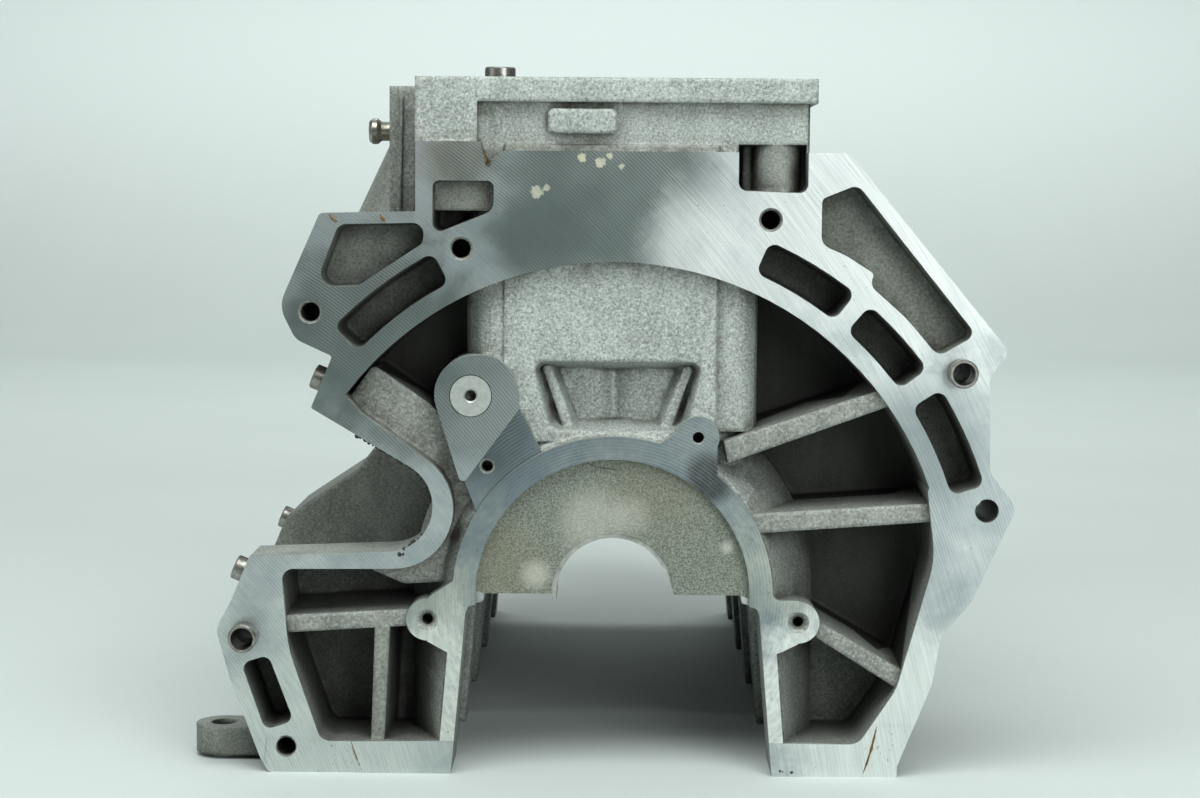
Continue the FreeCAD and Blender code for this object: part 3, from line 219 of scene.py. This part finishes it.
def oil_tanned_saddle(name):
    """Fine-blasted saddle face behind the crankshaft seal, tanned by hot oil: matt green-grey with a
    grain under a millimetre, paler blotches where oil has not reached and browner ones where it has."""
    material, tree, shader, place = new_material(name)
    grain = add(tree, "ShaderNodeTexNoise", {
        "Vector": place, "Scale": per_mm(0.8), "Detail": 3.0, "Roughness": 0.7})
    speck = add(tree, "ShaderNodeMapRange", {"Value": grain, "From Min": 0.38, "From Max": 0.64})
    colour = add(tree, "ShaderNodeMix", {
        0: speck, 6: hexed("#575A50"), 7: hexed("#8C9388")}, 2, data_type="RGBA")
    clouds = add(tree, "ShaderNodeTexNoise", {"Vector": place, "Scale": per_mm(30.0), "Detail": 3.0})
    for x, z, reach, share, tone in (
            (-35.5, 8.7, 6, 0.5, "#C9C8BE"), (-10.5, 34.2, 13, 0.35, "#C6C5BC"),
            (8.0, 36.0, 8, 0.3, "#C6C5BC"), (52.0, 22.0, 3, 0.5, "#C9C8BE"),
            (-56.0, 12.0, 20, 0.25, "#7C7458"), (20.0, 52.0, 22, 0.2, "#7D7660")):
        colour = tone_patched(tree, colour, place, (x, 5.0, z), clouds,
                          0.8 * reach, 1.8 * reach, 0.9 * reach, share, tone)
    tree.links.new(colour, shader.inputs["Base Color"])
    shader.inputs["Metallic"].default_value = 0.3
    shader.inputs["Roughness"].default_value = 0.55
    tree.links.new(add(tree, "ShaderNodeBump", {
        "Height": grain, "Distance": 0.15 * MM, "Strength": 0.6}), shader.inputs["Normal"])
    return material


def turned_steel(name, light, dark, roughness, spots):
    """Turned or rolled steel: bright with fine uneven lines, small spots of old oil, and painted shade in
    its small hollows.
    """
    material, tree, shader, place = new_material(name)
    patches = add(tree, "ShaderNodeTexNoise", {
        "Vector": place, "Scale": per_mm(4.0), "Detail": 4.0, "Roughness": 0.6})
    worn = add(tree, "ShaderNodeMapRange", {"Value": patches, "From Min": 0.35, "From Max": 0.7})
    colour = add(tree, "ShaderNodeMix", {0: worn, 6: hexed(light), 7: hexed(dark)}, 2, data_type="RGBA")
    stain = add(tree, "ShaderNodeTexNoise", {
        "Vector": place, "Scale": per_mm(2.4), "Detail": 3.0, "Roughness": 0.7})
    spotted = add(tree, "ShaderNodeMapRange", {
        "Value": stain, "From Min": 0.58, "From Max": 0.68, "To Max": spots})
    colour = add(tree, "ShaderNodeMix", {0: spotted, 6: colour, 7: hexed("#5A3F28")}, 2, data_type="RGBA")
    # Painted shade: small hollows, found by occlusion over 6 mm, go towards near-black.
    inside = add(tree, "ShaderNodeAmbientOcclusion", {"Distance": 6.0 * MM}, 1, samples=4)
    painted_hollow_shade = add(tree, "ShaderNodeMapRange", {
        "Value": inside, "From Min": 0.55, "From Max": 0.25, "To Max": 0.85})
    colour = add(tree, "ShaderNodeMix", {0: painted_hollow_shade, 6: colour, 7: hexed("#1D1C19")}, 2, data_type="RGBA")
    tree.links.new(colour, shader.inputs["Base Color"])
    shader.inputs["Metallic"].default_value = 0.95
    rough = add(tree, "ShaderNodeMapRange", {
        "Value": patches, "From Min": 0.3, "From Max": 0.7,
        "To Min": roughness, "To Max": roughness + 0.16})
    tree.links.new(rough, shader.inputs["Roughness"])
    fine = add(tree, "ShaderNodeTexNoise", {"Vector": place, "Scale": per_mm(0.6), "Detail": 2.0})
    tree.links.new(add(tree, "ShaderNodeBump", {
        "Height": fine, "Distance": 0.05 * MM, "Strength": 0.4}), shader.inputs["Normal"])
    return material


def dried_film(name, tone, edge, roughness):
    """Something that dried on the metal, such as sealant or varnish: one colour, thinner at places."""
    material, tree, shader, place = new_material(name)
    uneven = add(tree, "ShaderNodeTexNoise", {"Vector": place, "Scale": per_mm(0.8), "Detail": 3.0})
    share = add(tree, "ShaderNodeMapRange", {"Value": uneven, "From Min": 0.4, "From Max": 0.65})
    colour = add(tree, "ShaderNodeMix", {0: share, 6: hexed(tone), 7: hexed(edge)}, 2, data_type="RGBA")
    tree.links.new(colour, shader.inputs["Base Color"])
    shader.inputs["Roughness"].default_value = roughness
    tree.links.new(add(tree, "ShaderNodeBump", {
        "Height": uneven, "Distance": 0.15 * MM, "Strength": 0.6}), shader.inputs["Normal"])
    return material


# The pale cast skin is the lit tone; the four below are dimmer copies of it that paint shade, the
# oil-darkened one also oil.
CAST_PALE = shot_blasted_casting(
    "shot_blasted_casting_pale", "#A9AFAB", "#939994", "#D6DBD8", "#4A3E2B", oil_share=0.95, shade_and_oil_in_rooms=0.5)
# Light painted shade: a dimmer copy of the cast skin for the upper side housing and the side rooms.
CAST_DULL = shot_blasted_casting(
    "shot_blasted_casting_dull_painted_shade", "#959893", "#7E817C", "#BDC0BA", "#3A3021", shade_and_oil_in_rooms=0.6)
# Darker painted shade: a dimmer copy of the cast skin for the lower outer walls.
CAST_DARK_SHADE = shot_blasted_casting(
    "shot_blasted_casting_dark_painted_shade", "#838680", "#636660", "#9A9D96", "#261F17")
# Painted shade: a dimmer copy of the cast skin for the corner pockets and the foot rooms.
CAST_POCKET = shot_blasted_casting(
    "shot_blasted_casting_pocket_painted_shade", "#8F928C", "#737670", "#A9ACA5", "#2B2318")
# Oil darkening with painted shade: a near-black copy of the cast skin for the bell's floor.
CAST_OIL_AND_SHADE = shot_blasted_casting(
    "oil_darkened_casting_painted_shade", "#454742", "#30322E", "#585A54", "#17140F", shade_and_oil_in_rooms=0.95)
# Its large pale patches and large blue-grey ones are painted reflections; the small cream spots and the
# brownish one near the top-left corner are dried remains.
FACE_MILLED = milled_aluminium(
    "face_milled_aluminium", "#C8CECE", "#A0AAAC", cutter=(-330.0, 0.0, -150.0), streak_mm=0.9,
    stains_and_reflections=(
        (128.0, 176.0, 84, 40, 0.9, "#E9EDEC"), (-71.3, 197.1, 16, 8, 0.8, "#73705E"),
        (-112.0, 120.0, 48, 20, 0.9, "#586562"), (-15.0, 178.0, 56, 24, 0.9, "#5C6965"),
        (136.3, 68.2, 28, 14, 0.6, "#7E888A"), (40.0, 158.0, 22, 14, 0.9, "#ECF0EF"),
        (-66.0, 88.0, 30, 12, 0.7, "#5A6765"), (130.0, -60.0, 54, 26, 0.85, "#E9EDEA"),
        (-120.0, -60.0, 60, 26, 0.7, "#D3DAD4"), (-35.4, 183.1, 2.6, 0.5, 0.9, "#D8D6C4"),
        (-31.0, 185.0, 1.4, 0.4, 0.8, "#D8D6C4"), (-15.2, 198.6, 1.7, 0.4, 0.9, "#E6E2C0"),
        (-7.2, 196.6, 2.2, 0.4, 0.9, "#E3E0C8"), (-3.0, 199.4, 1.3, 0.4, 0.9, "#E3E0C8"),
        (2.5, 195.0, 1.2, 0.4, 0.8, "#E3E0C8")))
# Its dark patches and the bright ones low on the feet are painted reflections.
RING_MILLED = milled_aluminium(
    "bored_seal_face", "#9AA3A4", "#6F7D84", cutter=(0.0, 0.0, 0.0), streak_mm=2.2, streaks=0.3,
    feed_mm=1.5, feed=0.06, roughness=0.3,
    stains_and_reflections=(
        (-53.8, 71.1, 20, 8, 0.8, "#4A585F"), (42.9, 54.6, 10, 4, 0.9, "#2E3434"),
        (76.0, 14.0, 22, 12, 0.7, "#C3C8B8"), (-80.0, -2.0, 18, 10, 0.5, "#C3C8B8"),
        (81.0, -58.0, 44, 14, 0.95, "#EDF0EC"), (-79.0, -58.0, 44, 14, 0.95, "#E2E6DF")))
SADDLE = oil_tanned_saddle("oil_tanned_saddle_face")
DECK_MILLED = milled_aluminium(
    "milled_deck_aluminium", "#C2C5C6", "#A2A7AA", cutter=(90.0, -400.0, 0.0), streak_mm=0.9,
    streaks=0.3, feed_mm=2.4, feed=0.15)
BORED = turned_steel("bored_aluminium", "#C9CBCB", "#8F9293", roughness=0.28, spots=0.1)
IRON = turned_steel("honed_grey_iron", "#8E8E8C", "#6D6D6B", roughness=0.34, spots=0.05)
BEARING = turned_steel("plated_bearing_metal", "#C4C5C1", "#9FA09B", roughness=0.38, spots=0.05)
SLEEVE = turned_steel("rolled_spring_steel", "#A3A29C", "#66635D", roughness=0.28, spots=0.4)
STUB = turned_steel("zinc_plated_steel", "#A9A699", "#6D6A60", roughness=0.26, spots=0.3)
PLUG = turned_steel("turned_plug_steel", "#C3C7C3", "#A9ADA9", roughness=0.42, spots=0.05)
SEALANT = dried_film("dried_black_sealant", "#151513", "#2C2B27", roughness=0.55)
VARNISH = dried_film("dried_amber_varnish", "#7A5A22", "#4E3A1C", roughness=0.3)
# Bright scratch tone; it also paints a highlight along a step's edge.
BRIGHT_SCRATCH_AND_HIGHLIGHT = dried_film("bright_scratch_and_painted_highlight", "#E4E7E5", "#C9CDCB", roughness=0.4)
DARK_SCRATCH = dried_film("oil_filled_scratch", "#3D3A30", "#55513F", roughness=0.5)

# ------------------------------------------------------------------ the casting

PALE, DULL, DARK_SHADE, POCKET, OIL_AND_SHADE, FACE, RING, DISC, CUT, TURNED = range(10)
FINISHES = (CAST_PALE, CAST_DULL, CAST_DARK_SHADE, CAST_POCKET, CAST_OIL_AND_SHADE, FACE_MILLED, RING_MILLED, SADDLE,
            DECK_MILLED, BORED)

SQUARELY = 0.99            # share of a face's look that counts as straight along an axis

# Where the casting's surfaces lie, in millimetres: depths from the transmission face, heights and
# sides from the crankshaft axis.
AT_END = 0.3               # how near to an end plane a milled end lies
FLANGE_DEPTH = 0.75        # flange face with the lower step of its feet
STEP_DEPTH, STEP_RADIUS = 0.65, 95.0           # that step, which isn't within reach of the carrier
RING_DEPTH, RING_RADIUS, RING_SIDE = 3.6, 112.0, 100.0
SADDLE_DEPTH, SADDLE_BORE_DEPTH, SADDLE_RADIUS = 5.3, 5.5, 63.0
MAIN_RADIUS = 28.6
FIRST_MAIN, PITCH = 20.0, 96.0
LINER_SEAT_RADIUS, LINER_SEAT_PLAY = 46.4, 0.4
BELL_DEPTH, BELL_END, BELL_RADIUS, BELL_TOP = 33.0, 60.0, 98.0, 200.0
BELL_FOOT_RIGHT, BELL_FOOT_LEFT = -28.0, 10.0
HOUSING_SIDE, HOUSING_START, HOUSING_UPPER, HOUSING_FOOT = -93.0, 30.0, 150.0, 40.0
SKIRT_SIDE = 80.0
POCKET_DEPTH, POCKET_RADIUS, POCKET_FOOT, POCKET_TOP = 29.0, 155.0, 150.0, 205.0
FOOT_TOP, FOOT_SIDE = -15.0, -84.0
ROOM_RIGHT, ROOM_LEFT, ROOM_TOP = 64.0, -70.0, 170.0


def finish_of(centre, normal):
    """Which finish a face has, with the cast skin's tones of painted shade, from where it lies in
    millimetres and which way it looks.
    """
    x, y, z = centre
    rail, deck, front = RAIL / MM, DECK / MM, FRONT / MM
    from_axis = math.hypot(x, z)
    if normal.y < -SQUARELY:
        if y < FLANGE_DEPTH and not (y > STEP_DEPTH and from_axis < STEP_RADIUS):
            return FACE
        if y < RING_DEPTH and from_axis < RING_RADIUS and abs(x) < RING_SIDE:
            return RING
        if y < SADDLE_DEPTH and from_axis < SADDLE_RADIUS and z > -0.5:
            return DISC
    if normal.z > SQUARELY and z > deck - AT_END:
        return CUT
    if normal.z < -SQUARELY and z < rail + AT_END:
        return CUT
    if normal.y > SQUARELY and y > front - AT_END:
        return CUT
    if from_axis < MAIN_RADIUS or (from_axis < SADDLE_RADIUS and y < SADDLE_BORE_DEPTH):
        return TURNED
    beside = (y - FIRST_MAIN) % PITCH - PITCH / 2
    from_cylinder = math.hypot(x, beside)
    looks_in = x * normal.x + beside * normal.y < -0.9 * from_cylinder
    if looks_in and abs(from_cylinder - LINER_SEAT_RADIUS) < LINER_SEAT_PLAY:
        return TURNED
    # The bell's floor is oil-darkened with painted shade, down to where the feet begin.
    bell_foot = BELL_FOOT_RIGHT if x > 0 else BELL_FOOT_LEFT
    if BELL_DEPTH < y < BELL_END and from_axis > BELL_RADIUS and bell_foot < z < BELL_TOP:
        return OIL_AND_SHADE
    # The side housing gets light painted shade above and darker painted shade below, like the outer walls
    # of the crankcase.
    beside_housing = x < HOUSING_SIDE and y > HOUSING_START
    if beside_housing and z > HOUSING_UPPER:
        return DULL
    if (beside_housing and z > HOUSING_FOOT) or (abs(x) > SKIRT_SIDE and y > BELL_END):
        return DARK_SHADE
    # Pockets in the flange's corners, and the cored rooms of the left foot, get painted shade.
    in_corner = y < POCKET_DEPTH and (from_axis > POCKET_RADIUS or z > POCKET_FOOT) and z < POCKET_TOP
    if 0.3 < y < BELL_END and (in_corner or (z < FOOT_TOP and x < FOOT_SIDE)):
        return POCKET
    # The side rooms get the light painted shade.
    if 2 < y < BELL_END and z < ROOM_TOP and (x > ROOM_RIGHT or x < ROOM_LEFT):
        return DULL
    return PALE


CREASE = math.radians(34)


def dressed_casting():
    """Copy of the casting with a finish on each face and smooth shading inside rounded stretches."""
    mesh = NODES["block_casting"].data.copy()
    mesh.materials.clear()
    for material in FINISHES:
        mesh.materials.append(material)
    form = bmesh.new()
    form.from_mesh(mesh)
    bmesh.ops.remove_doubles(form, verts=form.verts, dist=0.002 * MM)
    for face in form.faces:
        face.material_index = finish_of(face.calc_center_median() / MM, face.normal)
        face.smooth = True
    for edge in form.edges:
        finishes = {face.material_index for face in edge.link_faces}
        edge.smooth = len(finishes) == 1 and edge.calc_face_angle(math.pi) < CREASE
    form.to_mesh(mesh)
    form.free()
    thing = bpy.data.objects.new("casting_skin", mesh)
    bpy.context.scene.collection.objects.link(thing)
    even = thing.modifiers.new("flats_lead", "WEIGHTED_NORMAL")
    even.keep_sharp = True
    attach(thing, "root")
    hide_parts("block_casting")


# ------------------------------------------------------------------ what lies on the casting


LUMP_SWELLS = 900.0        # swellings per metre on a lump
BEAD_SWELLS = 350.0        # swellings per metre along a bead
BLUNTNESS = 0.35           # how bluntly a bead ends: 1 is a long taper, 0 is none
FULL_WIDTH = 3.2           # brings the middle of the taper, times its noise, back to about 1


def scatter_tree(name):
    """Geometry nodes: lumps strewn along a path, each turned and sized by chance."""
    tree = bpy.data.node_groups.new(name, "GeometryNodeTree")
    sockets = {}
    for label, kind in (("Path", "NodeSocketGeometry"), ("Spacing", "NodeSocketFloat"),
                        ("Lump", "NodeSocketFloat"), ("Spread", "NodeSocketFloat"),
                        ("Flatness", "NodeSocketFloat"), ("Seed", "NodeSocketInt"),
                        ("Finish", "NodeSocketMaterial")):
        sockets[label] = tree.interface.new_socket(label, in_out="INPUT", socket_type=kind).identifier
    tree.interface.new_socket("Lumps", in_out="OUTPUT", socket_type="NodeSocketGeometry")
    given = add(tree, "NodeGroupInput").node.outputs
    points = add(tree, "GeometryNodeCurveToPoints", {
        "Curve": given["Path"], "Length": given["Spacing"]}, mode="LENGTH")
    least = add(tree, "ShaderNodeMath", {0: given["Spread"], 1: -1.0}, operation="MULTIPLY")
    low = add(tree, "ShaderNodeCombineXYZ", {0: least, 1: 0.0, 2: least})
    high = add(tree, "ShaderNodeCombineXYZ", {0: given["Spread"], 1: 0.0, 2: given["Spread"]})
    shift = add(tree, "FunctionNodeRandomValue", {
        0: low, 1: high, "Seed": given["Seed"]}, data_type="FLOAT_VECTOR")
    points = add(tree, "GeometryNodeSetPosition", {"Geometry": points, "Offset": shift})
    lump = add(tree, "GeometryNodeMeshIcoSphere", {"Radius": given["Lump"], "Subdivisions": 2})
    uneven = add(tree, "ShaderNodeTexNoise", {"Scale": LUMP_SWELLS, "Detail": 1.0})
    swell = add(tree, "ShaderNodeVectorMath", {
        0: add(tree, "GeometryNodeInputNormal"), "Scale": add(tree, "ShaderNodeMath", {
            0: add(tree, "ShaderNodeMath", {0: uneven, 1: 0.5}, operation="SUBTRACT"),
            1: given["Lump"]}, operation="MULTIPLY")}, operation="SCALE")
    lump = add(tree, "GeometryNodeSetPosition", {"Geometry": lump, "Offset": swell})
    turn = add(tree, "FunctionNodeRandomValue", {
        0: (0.0, 0.0, 0.0), 1: (0.0, 2 * math.pi, 0.0), "Seed": given["Seed"]}, data_type="FLOAT_VECTOR")
    width = add(tree, "FunctionNodeRandomValue", {
        2: 0.45, 3: 1.3, "Seed": given["Seed"]}, 1, data_type="FLOAT")
    flat = add(tree, "ShaderNodeMath", {0: width, 1: given["Flatness"]}, operation="MULTIPLY")
    size = add(tree, "ShaderNodeCombineXYZ", {0: width, 1: flat, 2: width})
    strewn = add(tree, "GeometryNodeInstanceOnPoints", {
        "Points": points, "Instance": lump, "Rotation": turn, "Scale": size})
    real = add(tree, "GeometryNodeRealizeInstances", {"Geometry": strewn})
    finished = add(tree, "GeometryNodeSetMaterial", {"Geometry": real, "Material": given["Finish"]})
    add(tree, "NodeGroupOutput", {"Lumps": finished})
    return tree, sockets


def bead_tree(name):
    """Geometry nodes: a thin uneven bead that follows a path and tapers to its ends."""
    tree = bpy.data.node_groups.new(name, "GeometryNodeTree")
    sockets = {}
    for label, kind in (("Path", "NodeSocketGeometry"), ("Width", "NodeSocketFloat"),
                        ("Finish", "NodeSocketMaterial")):
        sockets[label] = tree.interface.new_socket(label, in_out="INPUT", socket_type=kind).identifier
    tree.interface.new_socket("Bead", in_out="OUTPUT", socket_type="NodeSocketGeometry")
    given = add(tree, "NodeGroupInput").node.outputs
    path = add(tree, "GeometryNodeResampleCurve", {"Curve": given["Path"], "Count": 40})
    share = add(tree, "GeometryNodeSplineParameter")
    hump = add(tree, "ShaderNodeMath", {
        0: share, 1: add(tree, "ShaderNodeMath", {0: 1.0, 1: share}, operation="SUBTRACT")},
        operation="MULTIPLY")
    taper = add(tree, "ShaderNodeMath", {0: hump, 1: BLUNTNESS}, operation="POWER")
    uneven = add(tree, "ShaderNodeTexNoise", {"Scale": BEAD_SWELLS, "Detail": 2.0})
    swell = add(tree, "ShaderNodeMath", {0: taper, 1: uneven}, operation="MULTIPLY")
    radius = add(tree, "ShaderNodeMath", {0: swell, 1: FULL_WIDTH}, operation="MULTIPLY")
    path = add(tree, "GeometryNodeSetCurveRadius", {"Curve": path, "Radius": radius})
    ring = add(tree, "GeometryNodeCurvePrimitiveCircle", {"Resolution": 8, "Radius": given["Width"]})
    bead = add(tree, "GeometryNodeCurveToMesh", {
        "Curve": path, "Profile Curve": ring, "Fill Caps": True, "Scale": radius})
    finished = add(tree, "GeometryNodeSetMaterial", {"Geometry": bead, "Material": given["Finish"]})
    add(tree, "NodeGroupOutput", {"Bead": finished})
    return tree, sockets


def path_through(name, points_mm, smooth=True):
    """Curve object through points given in millimetres."""
    curve = bpy.data.curves.new(name, "CURVE")
    curve.dimensions = "3D"
    spline = curve.splines.new("NURBS" if smooth else "POLY")
    spline.points.add(len(points_mm) - 1)
    for point, place in zip(spline.points, points_mm):
        point.co = (*(c * MM for c in place), 1.0)
    if smooth:
        spline.order_u = min(4, len(points_mm))
        spline.use_endpoint_u = True
    thing = bpy.data.objects.new(name, curve)
    bpy.context.scene.collection.objects.link(thing)
    return thing


def laid_on(name, tree, sockets, path, **values):
    """Mesh that a tree makes along a path, as a plain piece that rides on the block."""
    grow = path.modifiers.new("laid", "NODES")
    grow.node_group = tree
    for label, value in values.items():
        grow[sockets[label]] = value
    settled = path.evaluated_get(bpy.context.evaluated_depsgraph_get())
    mesh = bpy.data.meshes.new_from_object(settled)
    mesh.name = name
    bpy.data.objects.remove(path)
    thing = bpy.data.objects.new(name, mesh)
    bpy.context.scene.collection.objects.link(thing)
    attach(thing, "root")


def dried_remains():
    """Sealant scraps, varnish, the punched seam, a scratch and a painted highlight on a step's edge, each
    laid along its own path.  The high and low scraps keep to the casting: each of their points goes to the
    nearest metal."""
    strewn, spots = scatter_tree("strewn_lumps")
    bead, line = bead_tree("tapered_bead")
    scraps = {
        "sealant_high": ((-116.6, 1.2, 72.6), (-104.0, 1.2, 65.4), (-88.6, 1.2, 56.5), (-84.4, 1.2, 47.0)),
        "sealant_low": ((-85.8, 1.2, 27.6), (-91.6, 1.2, 21.6), (-97.0, 1.2, 18.0)),
    }
    casting = BVHTree.FromObject(bpy.data.objects["casting_skin"], bpy.context.evaluated_depsgraph_get())
    for seed, (name, points) in enumerate(scraps.items()):
        points = [casting.find_nearest(Vector(point) * MM)[0] / MM for point in points]
        laid_on(name, strewn, spots, path_through(name, points, False), Spacing=1.5 * MM,
                Lump=0.9 * MM, Spread=0.7 * MM, Flatness=0.6, Seed=seed, Finish=SEALANT)
    laid_on("sealant_foot_left", strewn, spots,
            path_through("foot_left", ((-112.0, 0.7, -80.0), (-76.0, 0.7, -80.0)), False),
            Spacing=1.7 * MM, Lump=1.2 * MM, Spread=0.7 * MM, Flatness=0.4, Seed=5, Finish=SEALANT)
    laid_on("sealant_foot_right", strewn, spots,
            path_through("foot_right", ((77.0, 0.3, -80.4), (88.0, 0.3, -80.7)), False),
            Spacing=1.6 * MM, Lump=1.0 * MM, Spread=0.6 * MM, Flatness=0.4, Seed=6, Finish=SEALANT)
    laid_on("punched_seam", strewn, spots,
            path_through("seam", ((-102.0, 66.0, 226.0), (-104.0, 66.0, 175.0)), False),
            Spacing=3.2 * MM, Lump=0.5 * MM, Spread=0.1 * MM, Flatness=0.5, Seed=9, Finish=BRIGHT_SCRATCH_AND_HIGHLIGHT)
    for name, points, width in (
            ("varnish_step_left", ((-119.3, 0.3, -67.7), (-117.4, 0.3, -75.5), (-113.9, 0.3, -82.2)), 0.45),
            ("varnish_step_right", ((121.3, 0.3, -58.0), (119.8, 0.3, -71.0), (114.9, 0.3, -82.2)), 0.5),
            ("varnish_drip_outer", ((-128.6, 0.0, 172.4), (-127.4, 0.0, 170.6), (-125.1, 0.0, 169.0)), 0.7),
            ("varnish_drip_inner", ((-105.6, 0.0, 172.6), (-104.9, 0.0, 170.8), (-103.7, 0.0, 169.3)), 0.6),
            ("varnish_corner", ((-60.2, 2.8, 201.0), (-58.9, 2.8, 197.0), (-58.6, 2.8, 193.6)), 0.8)):
        laid_on(name, bead, line, path_through(name, points), Width=width * MM, Finish=VARNISH)
    # Painted highlight: a thin bright bead along the step's edge where light catches it.
    laid_on("step_edge_painted_highlight", bead, line,
            path_through("edge", ((-69.4, 0.9, 56.6), (-66.6, 0.9, 65.8), (-58.0, 0.9, 77.6),
                                  (-43.4, 0.9, 85.3))), Width=0.5 * MM, Finish=BRIGHT_SCRATCH_AND_HIGHLIGHT)
    laid_on("saddle_scratch", bead, line,
            path_through("scratch", ((-13.0, 5.0, 61.6), (-9.6, 5.0, 58.4), (-3.9, 5.0, 57.8),
                                     (3.0, 5.0, 57.4))), Width=0.22 * MM, Finish=DARK_SCRATCH)


# ------------------------------------------------------------------ finishes of the CAD pieces


def dress_cad_pieces():
    """Each carried-over piece takes the finish of its metal."""
    slots = {part["node"]: part["material_slot"] for part in frame["record"]["subparts"]}
    finishes = {"liner_iron": IRON, "bearing_steel": BEARING, "sleeve_steel": SLEEVE,
                "stub_steel": STUB, "plug_steel": PLUG}
    for name, thing in NODES.items():
        if slots[name] in finishes:
            thing.data.materials.clear()
            thing.data.materials.append(finishes[slots[name]])


# ------------------------------------------------------------------ floor, light and camera


FLOOR_START, FLOOR_END = -2.6, 2.7
SWEEP = 0.8                # radius in metres of the bend from floor to wall
WALL_TOP = 3.4
HALF_WIDTH = 4.5
BLEND = 0.6                # height over which the floor's tone becomes the wall's


def studio():
    """Pale floor that sweeps up behind the block."""
    mesh = bpy.data.meshes.new("studio_sweep")
    bends = np.linspace(0, math.pi / 2, 12)[1:]
    profile = [(FLOOR_START, 0.0), (FLOOR_END, 0.0)]
    profile += [(FLOOR_END + SWEEP * math.sin(a), SWEEP * (1 - math.cos(a))) for a in bends]
    profile += [(FLOOR_END + SWEEP, WALL_TOP)]
    points = [(x, y, RAIL + z) for y, z in profile for x in (-HALF_WIDTH, HALF_WIDTH)]
    faces = [(2 * i, 2 * i + 1, 2 * i + 3, 2 * i + 2) for i in range(len(profile) - 1)]
    mesh.from_pydata(points, [], faces)
    for face in mesh.polygons:
        face.use_smooth = True
    material, tree, shader, place = new_material("matt_painted_board")
    mottle = add(tree, "ShaderNodeTexNoise", {"Vector": place, "Scale": per_mm(300.0), "Detail": 3.0})
    floor = add(tree, "ShaderNodeMix", {
        0: mottle, 6: hexed("#C2C9C7"), 7: hexed("#BAC1BF")}, 2, data_type="RGBA")
    height = add(tree, "ShaderNodeSeparateXYZ", {0: place}).node.outputs[2]
    rise = add(tree, "ShaderNodeMapRange", {
        "Value": height, "From Min": RAIL, "From Max": RAIL + BLEND}, interpolation_type="SMOOTHSTEP")
    tone = add(tree, "ShaderNodeMix", {0: rise, 6: floor, 7: hexed("#E0E7E6")}, 2, data_type="RGBA")
    tree.links.new(tone, shader.inputs["Base Color"])
    shader.inputs["Roughness"].default_value = 0.7
    mesh.materials.append(material)
    thing = bpy.data.objects.new("studio_sweep", mesh)
    bpy.context.scene.collection.objects.link(thing)


def lamp(name, where, aim, width, height, watts):
    """Soft lamp whose light is very slightly green, as cheap daylight tubes are."""
    data = bpy.data.lights.new(name, "AREA")
    data.shape = "RECTANGLE"
    data.size, data.size_y, data.energy, data.color = width, height, watts, (0.95, 1.0, 0.98)
    thing = bpy.data.objects.new(name, data)
    thing.location = where
    thing.rotation_euler = (Vector(aim) - Vector(where)).to_track_quat("-Z", "Y").to_euler()
    bpy.context.scene.collection.objects.link(thing)


ROOM_STRENGTH = 0.5


def light():
    """Room with a bright ceiling and dim walls, soft lamps overhead and at both sides of the block,
    and one that lights the backdrop."""
    world = bpy.data.worlds.new("soft_room")
    bpy.context.scene.world = world
    world.use_nodes = True
    tree = world.node_tree
    direction = add(tree, "ShaderNodeTexCoord", out=0)
    parts = add(tree, "ShaderNodeSeparateXYZ", {0: direction}).node.outputs
    high = add(tree, "ShaderNodeMapRange", {
        "Value": parts[2], "From Min": 0.05, "From Max": 0.75}, interpolation_type="SMOOTHSTEP")
    room = add(tree, "ShaderNodeMix", {
        0: high, 6: hexed("#3E4547"), 7: hexed("#D8DEDC")}, 2, data_type="RGBA")
    back = add(tree, "ShaderNodeMapRange", {
        "Value": parts[1], "From Min": -0.2, "From Max": 0.5}, interpolation_type="SMOOTHSTEP")
    room = add(tree, "ShaderNodeMix", {0: back, 6: room, 7: hexed("#8E9493")}, 2, data_type="RGBA")
    shade = tree.nodes["Background"]
    tree.links.new(room, shade.inputs["Color"])
    shade.inputs["Strength"].default_value = ROOM_STRENGTH
    lamp("overhead_softbox", (0.0, -0.65, 1.4), (0, 0.05, 0.05), 1.7, 0.9, 27)
    lamp("right_softbox", (0.95, -1.75, 0.65), (0, 0, 0.1), 1.0, 1.2, 18)
    lamp("left_softbox", (-1.5, -0.7, 0.9), (0, 0, 0.1), 0.9, 1.0, 8)
    lamp("backdrop_softbox", (0.0, 1.6, 2.2), (0, 3.0, 0.1), 3.0, 0.8, 52)
    bpy.context.scene.view_settings.view_transform = "Standard"


EYE = (-0.00102, -1.022, 0.17973)
TILT, ASIDE, ROLL = 5.01, 0.30, 0.45           # degrees down, to the left and round the view


def camera():
    """Camera just above the block's middle, looking a little down at the transmission face."""
    down, aside, roll = (math.radians(angle) for angle in (TILT, ASIDE, ROLL))
    ahead = Vector((-math.cos(down) * math.sin(aside), math.cos(down) * math.cos(aside), -math.sin(down)))
    level = Vector((math.cos(aside), math.sin(aside), 0.0))
    over = level.cross(ahead)
    right = level * math.cos(roll) + over * math.sin(roll)
    up = right.cross(ahead)
    data = bpy.data.cameras.new("camera")
    data.sensor_width = 36.0
    data.lens = 68.1
    data.clip_start, data.clip_end = 0.05, 20.0
    thing = bpy.data.objects.new("camera", data)
    turn = Matrix((right, up, -ahead)).transposed()
    thing.matrix_world = Matrix.Translation(EYE) @ turn.to_4x4()
    bpy.context.scene.collection.objects.link(thing)
    bpy.context.scene.camera = thing


dressed_casting()
dress_cad_pieces()
dried_remains()
studio()
light()
camera()
